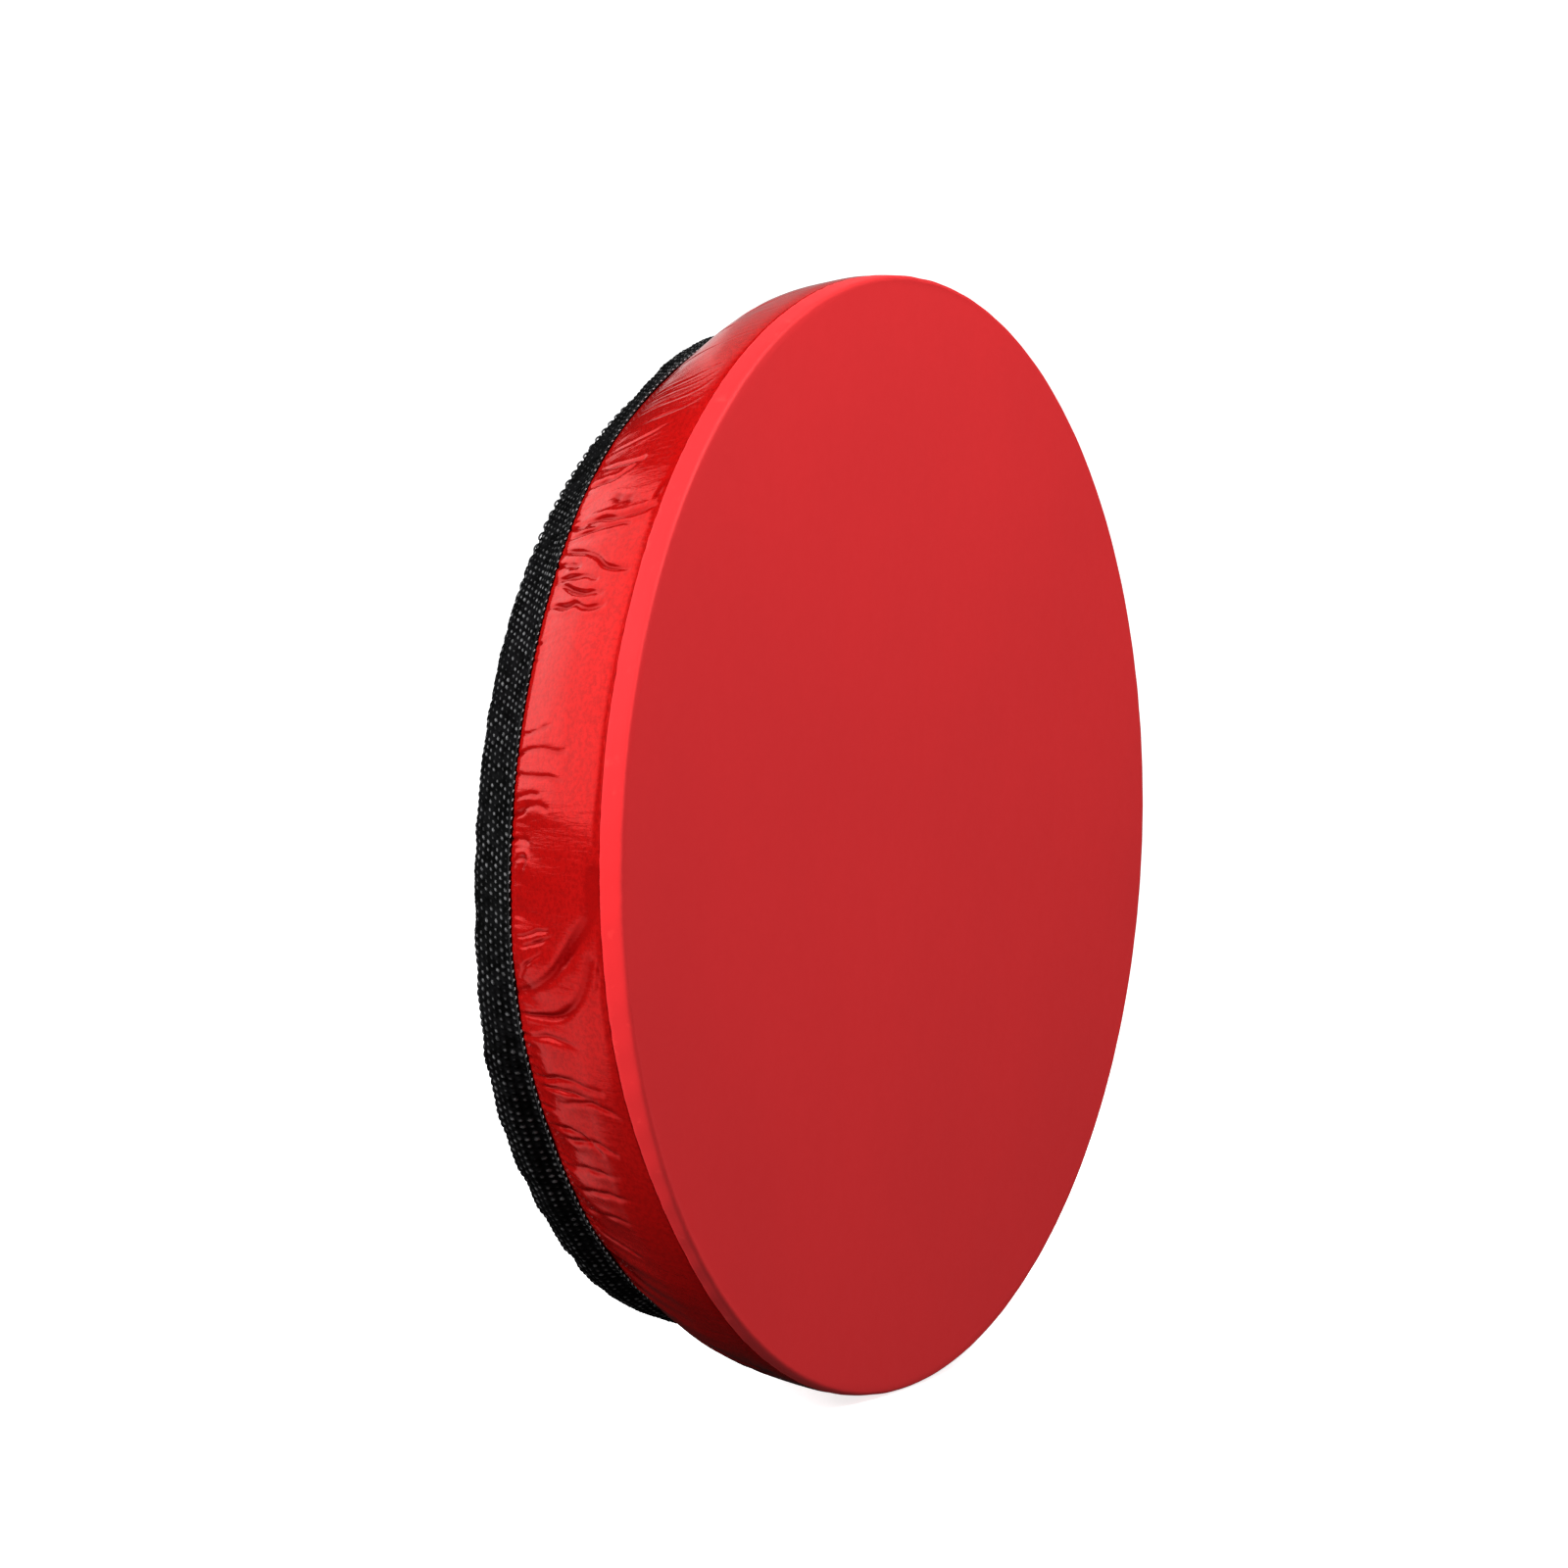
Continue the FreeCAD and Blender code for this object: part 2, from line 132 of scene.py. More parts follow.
def resample(points, step, closed=False):
    """Points along a polyline about step apart, with its corners kept."""
    p = [tuple(q) for q in points]
    if closed:
        p.append(p[0])
    out = []
    for a, b in zip(p, p[1:]):
        n = max(1, int(round(math.dist(a, b) / step)))
        for i in range(n):
            out.append([a[k] + (b[k] - a[k]) * i / n for k in range(len(a))])
    if not closed:
        out.append(list(p[-1]))
    return np.array(out)


def curve(points, n, closed=False, tension=0.5):
    """n points on a Catmull-Rom curve through the given points, evenly spaced."""
    p = np.array(points, float)
    if closed:
        p = np.vstack([p[-1], p, p[0], p[1]])
    else:
        p = np.vstack([2 * p[0] - p[1], p, 2 * p[-1] - p[-2]])
    fine = []
    for i in range(1, len(p) - 2):
        t = np.linspace(0, 1, 24, endpoint=False)[:, None]
        a, b, c, d = p[i - 1], p[i], p[i + 1], p[i + 2]
        fine.append(0.5 * (2 * b + (c - a) * t + (2 * a - 5 * b + 4 * c - d) * t ** 2 + (3 * b - a - 3 * c + d) * t ** 3))
    fine = np.vstack(fine + [p[-2][None]])
    s = np.r_[0, np.cumsum(np.linalg.norm(np.diff(fine, axis=0), axis=1))]
    t = np.linspace(0, s[-1], n, endpoint=not closed)
    return np.stack([np.interp(t, s, fine[:, k]) for k in range(p.shape[1])], -1)


def normals2(p, closed=False):
    """Unit normals of a 2-D line, on its left side."""
    if closed:
        d = np.roll(p, -1, 0) - np.roll(p, 1, 0)
    else:
        d = np.gradient(p, axis=0)
    d /= np.maximum(np.linalg.norm(d, axis=1, keepdims=True), 1e-9)
    return np.stack([-d[:, 1], d[:, 0]], -1)


# ------------------------------------------------------------------ the shape's own irregularities
def table(pairs, blur=5.0):
    """A smooth periodic curve over the rim angle, read from (degrees, millimetres) pairs."""
    at = np.array([p[0] for p in pairs], float)
    val = np.array([p[1] for p in pairs], float)
    g = np.arange(0, 360, 0.5)
    v = np.interp(g, np.r_[at - 360, at, at + 360], np.r_[val, val, val])
    k = np.exp(-((np.arange(-60, 61) * 0.5) / blur) ** 2)
    v = np.convolve(np.r_[v[-60:], v, v[:60]], k / k.sum(), "same")[60:-60]
    return lambda deg: np.interp(np.mod(deg, 360), np.r_[g, 360], np.r_[v, v[0]])


# how far the band's back edge and its front seam stand off a true circle
LIP = table([(0, 0), (20, -0.4), (40, -0.9), (60, -0.3), (90, 0), (120, 0.4), (138, 1.0), (160, 0.8), (180, 1.1), (190, 1.5), (200, -0.9), (207, -3.6),
             (213, -5.0), (220, -4.9), (230, -3.3), (240, -1.8), (250, -1.3), (260, -0.3), (270, 0.8), (280, 3.1), (285, 4.9), (290, 6.7), (297, 7.6), (303, 7.1), (310, 5.9), (318, 5.5), (326, 5.2), (333, 3.4), (340, 1.8), (348, 0.6)])
SEAM = table([(0, 0.2), (60, -0.2), (120, 0.3), (180, 0.3), (190, 0.9), (198, 0.9), (205, 0.5), (210, 0.4), (220, 1.0), (230, 1.0), (240, 0.2), (250, 0.1), (260, 0.6),
              (270, 1.3), (280, 2.7), (290, 2.8), (300, 1.9), (310, 1.8), (320, 2.0), (330, 1.6), (345, 0.6)])


def band_shift(th, r, y):
    """The soft back edge isn't round: it is pinched in at the upper left and bulges at the lower left.
    The zip's own ring inside it stays round."""
    deg = np.degrees(th)
    a = smooth((y - 38.3) / 6.0)
    b = 1 - (1 - np.clip((r - 120.7) / 5.9, 0, 1)) * smooth((y - 46.5) / 2.5)
    dr = (SEAM(deg) * smooth((y - 18) / 20.3) * (1 - a) + LIP(deg) * a) * b
    dy = -1.2 * gauss(deg % 360 - 213, 14) * smooth((r - 121.2) / 2.0) * smooth((y - 44) / 4)
    return r + dr, y + dy


def waves(th, v, seed, k_lo, k_hi, count, kv=1.0):
    """Smooth random field on the ring, about -1 to 1. v runs across, 0 to 1."""
    g = np.random.default_rng(seed)
    out = np.zeros(np.broadcast(th, v).shape)
    for _ in range(count):
        k = int(g.integers(k_lo, k_hi + 1))
        out += g.uniform(0.5, 1) * np.cos(k * th + g.uniform(-kv, kv) * TAU * v + g.uniform(0, TAU))
    return out / (0.55 * math.sqrt(count) + 1e-9) / 1.5


# ------------------------------------------------------------------ materials
class Mat:
    def __init__(self, name):
        self.m = bpy.data.materials.new(name)
        self.m.use_nodes = True
        self.t = self.m.node_tree
        self.t.nodes.clear()
        self.out = self.t.nodes.new("ShaderNodeOutputMaterial")
        self.b = self.t.nodes.new("ShaderNodeBsdfPrincipled")
        self.t.links.new(self.b.outputs[0], self.out.inputs[0])

    def put(self, socket, value):
        if isinstance(value, bpy.types.NodeSocket):
            self.t.links.new(value, socket)
        elif isinstance(value, (tuple, list)) and len(value) == 3 and socket.type == "RGBA":
            socket.default_value = (*value, 1)
        else:
            socket.default_value = value

    def node(self, kind, props=None, out=0, **inputs):
        n = self.t.nodes.new("ShaderNode" + kind)
        for k, v in (props or {}).items():
            setattr(n, k, v)
        for k, v in inputs.items():
            key = int(k[1:]) if k[0] == "i" and k[1:].isdigit() else k.replace("_", " ")
            self.put(n.inputs[key], v)
        return n.outputs[out]

    def calc(self, op, a, b=0.0, c=0.0):
        return self.node("Math", {"operation": op}, i0=a, i1=b, i2=c)

    def ramp(self, fac, lo, hi, a=0.0, b=1.0):
        return self.node("MapRange", {"interpolation_type": "SMOOTHSTEP"}, i0=fac, i1=lo, i2=hi, i3=a, i4=b)

    def mix(self, fac, a, b):
        n = self.t.nodes.new("ShaderNodeMix")
        n.data_type = "RGBA"
        self.put(n.inputs[0], fac)
        self.put(n.inputs[6], a)
        self.put(n.inputs[7], b)
        return n.outputs[2]

    def where(self, source="Object"):
        return self.node("TexCoord", out=["Generated", "Normal", "UV", "Object"].index(source))

    def noise(self, coord, scale, detail=3.0, rough=0.5, **kw):
        return self.node("TexNoise", Vector=coord, Scale=scale, Detail=detail, Roughness=rough, **kw)

    def bump(self, height, strength, distance, normal=None):
        n = self.t.nodes.new("ShaderNodeBump")
        self.put(n.inputs["Height"], height)
        n.inputs["Strength"].default_value = strength
        n.inputs["Distance"].default_value = distance
        if normal is not None:
            self.put(n.inputs["Normal"], normal)
        return n.outputs[0]

    def uv(self):
        s = self.t.nodes.new("ShaderNodeSeparateXYZ")
        self.put(s.inputs[0], self.where("UV"))
        return s.outputs[0], s.outputs[1]

    def xyz(self):
        s = self.t.nodes.new("ShaderNodeSeparateXYZ")
        self.put(s.inputs[0], self.where("Object"))
        return s.outputs[0], s.outputs[1], s.outputs[2]

    def sets(self, **kw):
        for k, v in kw.items():
            self.put(self.b.inputs[k.replace("_", " ")], v)
        return self


def make_red_matte():
    """Matte coated face cover. It turns glossier where it rolls over the rim, with a patchy painted highlight there,
    and has a fine leather grain.
    """
    m = Mat("red_matte_cover")
    p = m.where()
    x, y, z = m.xyz()
    broad = m.noise(p, 14.0, 3.0)
    mott = m.noise(p, 90.0, 4.0, 0.6)
    fine = m.noise(p, 900.0, 2.0)
    col = m.mix(m.ramp(broad, 0.3, 0.7), (0.575, 0.0185, 0.0215), (0.60, 0.019, 0.022))
    col = m.mix(m.ramp(mott, 0.35, 0.75, 0.0, 0.2), col, (0.55, 0.018, 0.021))
    cells = m.node("TexVoronoi", {"feature": "DISTANCE_TO_EDGE"}, Vector=p, Scale=1150.0)
    rim = m.ramp(y, 0.0001, 0.0012)
    # painted highlight: the rolled rim turns a lighter, pinker red in patches
    painted_rim_highlight = m.calc("MULTIPLY", rim, m.ramp(m.noise(p, 240.0, 4.0, 0.65), 0.58, 0.72, 0.0, 0.35))
    col = m.mix(painted_rim_highlight, col, (0.78, 0.045, 0.042))
    rough = m.calc("ADD", m.ramp(mott, 0.2, 0.8, 0.54, 0.62), m.calc("MULTIPLY", rim, -0.12))
    n1 = m.bump(m.ramp(cells, 0.0, 0.12), 0.10, 0.00006)
    n2 = m.bump(fine, 0.10, 0.00005, n1)
    n3 = m.bump(broad, 0.05, 0.0006, n2)
    m.sets(Base_Color=col, Roughness=rough, Normal=n3, Specular_IOR_Level=0.32, Coat_Weight=m.calc("MULTIPLY", rim, 0.06), Coat_Roughness=0.4)
    return m.m


def make_red_gloss():
    """Glossy wet-look vinyl: red reflections, orange-peel surface, with painted shade in the creases and along the
    seams.
    """
    m = Mat("red_gloss_vinyl")
    p = m.where()
    crease = m.node("Attribute", {"attribute_name": "crease"}, out=2)
    edge = m.node("Attribute", {"attribute_name": "seam"}, out=2)
    broad = m.noise(p, 22.0, 3.0)
    peel = m.noise(p, 520.0, 2.0, 0.55)
    micro = m.noise(p, 2200.0, 2.0)
    scuff = m.noise(p, 160.0, 5.0, 0.7)
    col = m.mix(m.ramp(broad, 0.3, 0.7), (0.55, 0.0045, 0.004), (0.62, 0.0075, 0.007))
    # painted shade: near-black red in the crease valleys, which also reflect less, and darker red along the wall's
    # seams
    col = m.mix(m.calc("MULTIPLY", crease, 0.95), col, (0.23, 0.0005, 0.001))
    col = m.mix(m.calc("MULTIPLY", edge, 0.25), col, (0.34, 0.004, 0.004))
    grain = m.noise(p, 900.0, 4.0, 0.7)
    col = m.mix(m.ramp(grain, 0.42, 0.62, 0.0, 0.62), col, (0.38, 0.004, 0.004))
    rough = m.calc("ADD", m.ramp(scuff, 0.35, 0.75, 0.08, 0.14), m.calc("MULTIPLY", edge, 0.1))
    n1 = m.bump(peel, 0.16, 0.0001)
    u, v = m.uv()
    comb = m.t.nodes.new("ShaderNodeCombineXYZ")
    m.put(comb.inputs[0], m.calc("MULTIPLY", u, 0.75))
    m.put(comb.inputs[1], m.calc("MULTIPLY", v, 0.13))
    ripple = m.noise(comb.outputs[0], 1.0, 4.0, 0.6, Distortion=0.4)
    n2 = m.bump(micro, 0.08, 0.00003, m.bump(ripple, 0.22, 0.00035, n1))
    m.sets(Base_Color=col, Metallic=0.49, Roughness=rough, Normal=n2, Specular_IOR_Level=m.calc("SUBTRACT", 0.72, m.calc("MULTIPLY", crease, 0.68)), Specular_Tint=(1.0, 0.62, 0.6, 1.0))
    return m.m


def make_webbing(name, base=0.0026, pitch=2.3, rough=0.3, fibre=0.3, sheen=0.002):
    """Black woven webbing. The strands are geometry; the material adds twisted fibres, uneven dye and painted glints on
    the strand crowns.
    """
    m = Mat(name)
    p = m.where()
    u, v = m.uv()
    tone = m.noise(p, 300.0, 3.0)
    crown_painted_glint = m.node("Attribute", {"attribute_name": "high"}, out=2)
    diag = m.calc("SINE", m.calc("MULTIPLY", m.calc("ADD", u, m.calc("MULTIPLY", v, 0.7)), TAU / fibre))
    col = m.mix(m.ramp(tone, 0.3, 0.7), (base * 0.6,) * 3, (base * 1.7, base * 1.7, base * 1.8))
    # painted highlight: lighter grey on the strand crowns, read from the high attribute
    col = m.mix(m.calc("MULTIPLY", crown_painted_glint, m.ramp(m.noise(p, 900.0, 2.0), 0.35, 0.6, 0.25, 1.0)), col, (0.115, 0.115, 0.118))
    n1 = m.bump(diag, 0.35, 0.00006)
    n2 = m.bump(m.noise(p, 3500.0, 3.0, 0.7), 0.3, 0.00005, n1)
    m.sets(Base_Color=col, Roughness=m.ramp(tone, 0.2, 0.8, rough - 0.08, rough + 0.1), Normal=n2, Sheen_Weight=sheen, Sheen_Roughness=0.4,
           Specular_IOR_Level=m.calc("MULTIPLY", m.calc("POWER", crown_painted_glint, 2.0), m.ramp(m.noise(p, 700.0, 2.0), 0.35, 0.65, 0.25, 1.5)))
    return m.m


def make_cloth(name, c0, c1, pitch=0.62, rough=0.62, sheen=0.3, strength=0.5, twill=0.0, stripe=0.0):
    """Woven cloth from UVs in millimetres: over-and-under strands, with optional twill shift."""
    m = Mat(name)
    p = m.where()
    u, v = m.uv()
    k = TAU / (2 * pitch)
    us = m.calc("ADD", u, m.calc("MULTIPLY", v, twill))
    su = m.calc("SINE", m.calc("MULTIPLY", us, k))
    sv = m.calc("SINE", m.calc("MULTIPLY", v, k))
    over = m.calc("GREATER_THAN", m.calc("MULTIPLY", su, sv), 0.0)
    au, av = m.calc("ABSOLUTE", su), m.calc("ABSOLUTE", sv)
    warp = m.calc("MULTIPLY", m.calc("POWER", av, 0.5), m.calc("ADD", 0.45, m.calc("MULTIPLY", au, 0.55)))
    weft = m.calc("MULTIPLY", m.calc("POWER", au, 0.5), m.calc("ADD", 0.45, m.calc("MULTIPLY", av, 0.55)))
    height = m.node("Mix", {"data_type": "FLOAT"}, i0=over, i2=weft, i3=warp)
    tone = m.noise(p, 260.0, 4.0, 0.6)
    broad = m.noise(p, 25.0, 3.0)
    col = m.mix(m.ramp(tone, 0.3, 0.7), c0, c1)
    # painted shade: darker where the strands dip, in the gaps between them
    col = m.mix(m.ramp(height, 0.15, 0.6, 0.65, 0.0), col, tuple(x * 0.35 for x in c0))
    col = m.mix(m.ramp(broad, 0.45, 0.75, 0.0, 0.3), col, tuple(min(1, x * 1.8 + 0.004) for x in c1))
    if stripe:
        col = m.mix(m.ramp(m.calc("ABSOLUTE", m.calc("SINE", m.calc("MULTIPLY", v, math.pi / stripe))), 0.0, 0.25, 0.5, 0.0), col, tuple(x * 0.3 for x in c0))
    n1 = m.bump(height, strength, 0.00012)
    n2 = m.bump(m.noise(p, 3000.0, 2.0), 0.2, 0.00004, n1)
    m.sets(Base_Color=col, Roughness=m.ramp(tone, 0.2, 0.8, rough - 0.07, rough + 0.1), Normal=n2, Sheen_Weight=sheen, Sheen_Roughness=0.45, Specular_IOR_Level=0.35)
    return m.m


def make_foam(name, c0, c1, scale=1400.0):
    m = Mat(name)
    p = m.where()
    cells = m.node("TexVoronoi", {}, Vector=p, Scale=scale)
    tone = m.noise(p, 60.0, 3.0)
    col = m.mix(m.ramp(tone, 0.3, 0.7), c0, c1)
    # painted shade: darker in the pore dimples
    col = m.mix(m.ramp(cells, 0.1, 0.5, 0.35, 0.0), col, tuple(x * 0.6 for x in c0))
    m.sets(Base_Color=col, Roughness=0.85, Normal=m.bump(cells, 0.5, 0.0002), Specular_IOR_Level=0.2)
    return m.m


def make_board(name):
    m = Mat(name)
    p = m.where()
    fibre = m.node("TexNoise", {}, Vector=m.node("Mapping", {}, Vector=p, Scale=(400.0, 60.0, 1600.0)), Scale=1.0, Detail=4.0)
    fleck = m.noise(p, 1800.0, 2.0)
    col = m.mix(m.ramp(fibre, 0.3, 0.7), (0.25, 0.21, 0.17), (0.34, 0.30, 0.25))
    col = m.mix(m.ramp(fleck, 0.62, 0.72, 0.0, 0.6), col, (0.12, 0.1, 0.08))
    m.sets(Base_Color=col, Roughness=0.8, Normal=m.bump(fibre, 0.3, 0.0001))
    return m.m


def make_metal(name, base=(0.46, 0.46, 0.47), rough=0.28):
    """Nickel-plated zinc: cast grain, fine scratches, dulled where it's handled."""
    m = Mat(name)
    p = m.where()
    scratch = m.node("TexNoise", {}, Vector=m.node("Mapping", {}, Vector=p, Rotation=(0.3, 0.2, 0.5), Scale=(300.0, 5000.0, 900.0)), Scale=1.0, Detail=3.0)
    stain = m.noise(p, 420.0, 4.0, 0.65)
    col = m.mix(m.ramp(stain, 0.35, 0.7), tuple(x * 0.82 for x in base), base)
    m.sets(Base_Color=col, Metallic=1.0, Roughness=m.calc("ADD", m.ramp(stain, 0.3, 0.7, rough - 0.06, rough + 0.08), m.ramp(scratch, 0.5, 0.8, 0.0, 0.15)),
           Normal=m.bump(scratch, 0.12, 0.00003, m.bump(stain, 0.1, 0.0001)))
    return m.m


def make_coil(name):
    m = Mat(name)
    p = m.where()
    tone = m.noise(p, 500.0, 3.0)
    m.sets(Base_Color=m.mix(m.ramp(tone, 0.3, 0.7), (0.012, 0.012, 0.013), (0.026, 0.026, 0.028)),
           Roughness=m.ramp(tone, 0.2, 0.8, 0.24, 0.4), Normal=m.bump(m.noise(p, 4000.0, 2.0), 0.15, 0.00003), Specular_IOR_Level=0.55)
    return m.m


def make_rubber(name):
    m = Mat(name)
    p = m.where()
    tone = m.noise(p, 350.0, 4.0, 0.6)
    m.sets(Base_Color=m.mix(m.ramp(tone, 0.3, 0.7), (0.014, 0.014, 0.015), (0.032, 0.031, 0.031)),
           Roughness=m.ramp(tone, 0.2, 0.8, 0.5, 0.68), Normal=m.bump(m.noise(p, 3000.0, 2.0), 0.3, 0.00004))
    return m.m


def make_thread(name, c0, c1, twist=0.45):
    """Sewing thread: two tones along the twist, the darker one a painted shade in the grooves between the plies."""
    m = Mat(name)
    p = m.where()
    u, v = m.uv()
    ply = m.calc("SINE", m.calc("MULTIPLY", m.calc("ADD", u, v), TAU / twist))
    tone = m.noise(p, 1200.0, 2.0)
    col = m.mix(m.ramp(ply, -0.6, 0.6), c0, c1)
    col = m.mix(m.ramp(tone, 0.4, 0.7, 0.0, 0.35), col, tuple(x * 0.6 for x in c0))
    m.sets(Base_Color=col, Roughness=0.5, Normal=m.bump(ply, 0.4, 0.00005), Sheen_Weight=0.2)
    return m.m


RED = make_red_matte()
VINYL = make_red_gloss()
WEB = make_webbing("black_webbing_weave")
STRAP = make_webbing("black_strap_weave", base=0.008, rough=0.46, fibre=0.26, sheen=0.08)
NYLON = make_cloth("black_nylon_cover", (0.011, 0.011, 0.012), (0.021, 0.021, 0.023), pitch=0.62, rough=0.76, sheen=0.04)
TAPE = make_cloth("zip_tape_weave", (0.012, 0.012, 0.013), (0.02, 0.02, 0.022), pitch=0.36, twill=1.0, strength=0.4)
LINING = make_cloth("grey_lining_knit", (0.030, 0.032, 0.036), (0.052, 0.054, 0.060), pitch=0.42, rough=0.75, sheen=0.5, strength=0.35)
BINDING = make_cloth("black_binding_tape", (0.012, 0.012, 0.013), (0.024, 0.024, 0.026), pitch=0.3, rough=0.6, strength=0.4, stripe=1.5)
ELASTIC = make_cloth("black_elastic_rib", (0.016, 0.016, 0.018), (0.034, 0.034, 0.037), pitch=0.34, rough=0.6, strength=0.45)
FOAM = make_foam("white_foam", (0.60, 0.58, 0.53), (0.68, 0.66, 0.61))
BOARD = make_board("fibre_board")
CORD = make_foam("cord_filler", (0.5, 0.49, 0.46), (0.6, 0.59, 0.56), 2500.0)
METAL = make_metal("nickel_plated_metal")
DARK_METAL = make_metal("dark_plated_metal", (0.16, 0.16, 0.165), 0.32)
COIL = make_coil("nylon_coil")
RUBBER = make_rubber("pull_rubber")
THREAD = make_thread("black_thread", (0.018, 0.018, 0.019), (0.045, 0.045, 0.048))
PALE_THREAD = make_thread("grey_edge_thread", (0.14, 0.135, 0.14), (0.30, 0.29, 0.30))
RED_THREAD = make_thread("red_thread", (0.40, 0.02, 0.02), (0.62, 0.04, 0.04))


def dress(o, material, body, slot_name, *stands_for):
    o.data.materials.clear()
    o.data.materials.append(material)
    if stands_for:
        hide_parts(*stands_for)
    if body:
        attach(o, body)
    return o


# ------------------------------------------------------------------ general soft shapes
def ring_solid(name, prof, n, change=None, uvs=(1.0, 1.0), attrs=None, weld_centre=False):
    """Turns a closed (r, y) profile into a ring. change(th, r, y, k) may move the points."""
    prof = np.asarray(prof, float)
    m = len(prof)
    th = (np.arange(n) * TAU / n)[:, None] + np.zeros((1, m))
    r = prof[None, :, 0] + np.zeros((n, 1))
    y = prof[None, :, 1] + np.zeros((n, 1))
    if change:
        r, y = change(th, r, y)
    pts = ring_xyz(th, r, y).reshape(-1, 3)
    q, uv = grid(n, m, True, True, uvs[0], uvs[1])
    weld = None
    if weld_centre:
        weld = np.where(r.ravel() < 1e-6)[0].tolist()
    extra = {k: f(th, r, y) for k, f in (attrs or {}).items()}
    return mesh(name, pts, q, uv=(uv, None), attrs=extra, weld=weld)


def rounded(prof, radius, arc=4):
    """Rounds the corners of a closed 2-D polygon."""
    p = np.asarray(prof, float)
    out = []
    n = len(p)
    for i in range(n):
        a, b, c = p[i - 1], p[i], p[(i + 1) % n]
        d0, d1 = a - b, c - b
        l0, l1 = np.linalg.norm(d0), np.linalg.norm(d1)
        k = min(radius, l0 * 0.45, l1 * 0.45)
        s, e = b + d0 / l0 * k, b + d1 / l1 * k
        for t in np.linspace(0, 1, arc):
            out.append((1 - t) ** 2 * s + 2 * t * (1 - t) * b + t ** 2 * e)
    return np.array(out)


def sector_solid(name, prof, z_cut, n, change=None, keep_above=True, uvs=(1.0, 1.0)):
    """A ring cut by the level z_cut, keeping the part above it or the part below it."""
    prof = np.asarray(prof, float)
    m = len(prof)
    cut = np.arccos(np.clip(-z_cut / prof[:, 0], -1, 1))
    t = np.linspace(0, 1, n)[:, None]
    if keep_above:
        th = cut[None] + (TAU - 2 * cut[None]) * t
    else:
        th = -cut[None] + 2 * cut[None] * t
    r = prof[None, :, 0] + np.zeros((n, 1))
    y = prof[None, :, 1] + np.zeros((n, 1))
    if change:
        r, y = change(th, r, y)
    pts = ring_xyz(th, r, y).reshape(-1, 3)
    q, uv = grid(n, m, False, True, uvs[0], uvs[1])
    centres = [pts[:m].mean(0), pts[-m:].mean(0)]
    base = len(pts)
    k = np.arange(m)
    t0 = np.stack([np.full(m, base), k, (k + 1) % m], -1)
    t1 = np.stack([np.full(m, base + 1), base - m + (k + 1) % m, base - m + k], -1)
    # end caps must turn the same way as the sides
    pts = np.vstack([pts, centres])
    tri = np.vstack([t0, t1])
    return mesh(name, pts, q, tri, uv=(uv, np.zeros((len(tri), 3, 2))))


def plate(name, outline, centre, y_back, y_front, rows, crown=None, edge=0.35, back_rows=6, front=None):
    """A closed plate in the XZ plane over a star-shaped outline. The front (+Y) surface can be crowned.
    front gives the front surface's own points, as simulated, in place of crown."""
    o = np.asarray(outline, float)
    c = np.asarray(centre, float)
    n = len(o)
    t = np.linspace(0, 1, rows + 1)[1:]
    t = t ** 0.85
    grid_xz = c + (o - c)[:, None, :] * t[None, :, None]
    if front is None:
        y = np.full((n, rows), y_front, float)
        if crown is not None:
            y = y + crown(grid_xz[..., 0], grid_xz[..., 1], t[None, :] + np.zeros((n, 1)))
        f = np.stack([grid_xz[..., 0], y, grid_xz[..., 1]], -1)
        yc = y_front + (float(crown(np.array([c[0]]), np.array([c[1]]), np.array([0.0]))[0]) if crown is not None else 0.0)
        top = np.array([[c[0], 0.5 * yc + 0.5 * float(y[:, 0].mean()), c[1]]])
        f[:, 0, 1] = 0.5 * f[:, 0, 1] + 0.5 * float(y[:, 0].mean())
    else:
        f, top = front
    # rounded edge from the front to the back
    inward = (c - o) / np.linalg.norm(c - o, axis=1, keepdims=True)
    thick = y_front - y_back
    ring = []
    for a in (0.25, 0.5, 0.75):
        out = edge * math.sin(math.pi * a)
        p = o - inward * (out - 0.0) * 0.6
        ring.append(np.stack([p[:, 0], f[:, -1, 1] * (1 - a) + y_back * a, p[:, 1]], -1))
    tb = np.linspace(1, 0, back_rows + 1)[:-1]
    back = c + (o - c)[:, None, :] * tb[None, :, None]
    b = np.stack([back[..., 0], np.full((n, back_rows), y_back, float), back[..., 1]], -1)
    allp = np.concatenate([f, np.stack(ring, 1), b], 1)
    m = allp.shape[1]
    q, _ = grid(n, m, True, False)
    pts = np.vstack([allp.reshape(-1, 3), top, [[c[0], y_back, c[1]]]])
    k = np.arange(n)
    t0 = np.stack([np.full(n, n * m), ((k + 1) % n) * m, k * m], -1)
    t1 = np.stack([np.full(n, n * m + 1), k * m + m - 1, ((k + 1) % n) * m + m - 1], -1)
    tri = np.vstack([t0, t1])
    uvq = pts[q][..., [0, 2]]
    uvt = pts[tri][..., [0, 2]]
    return mesh(name, pts, q, tri, uv=(uvq, uvt))


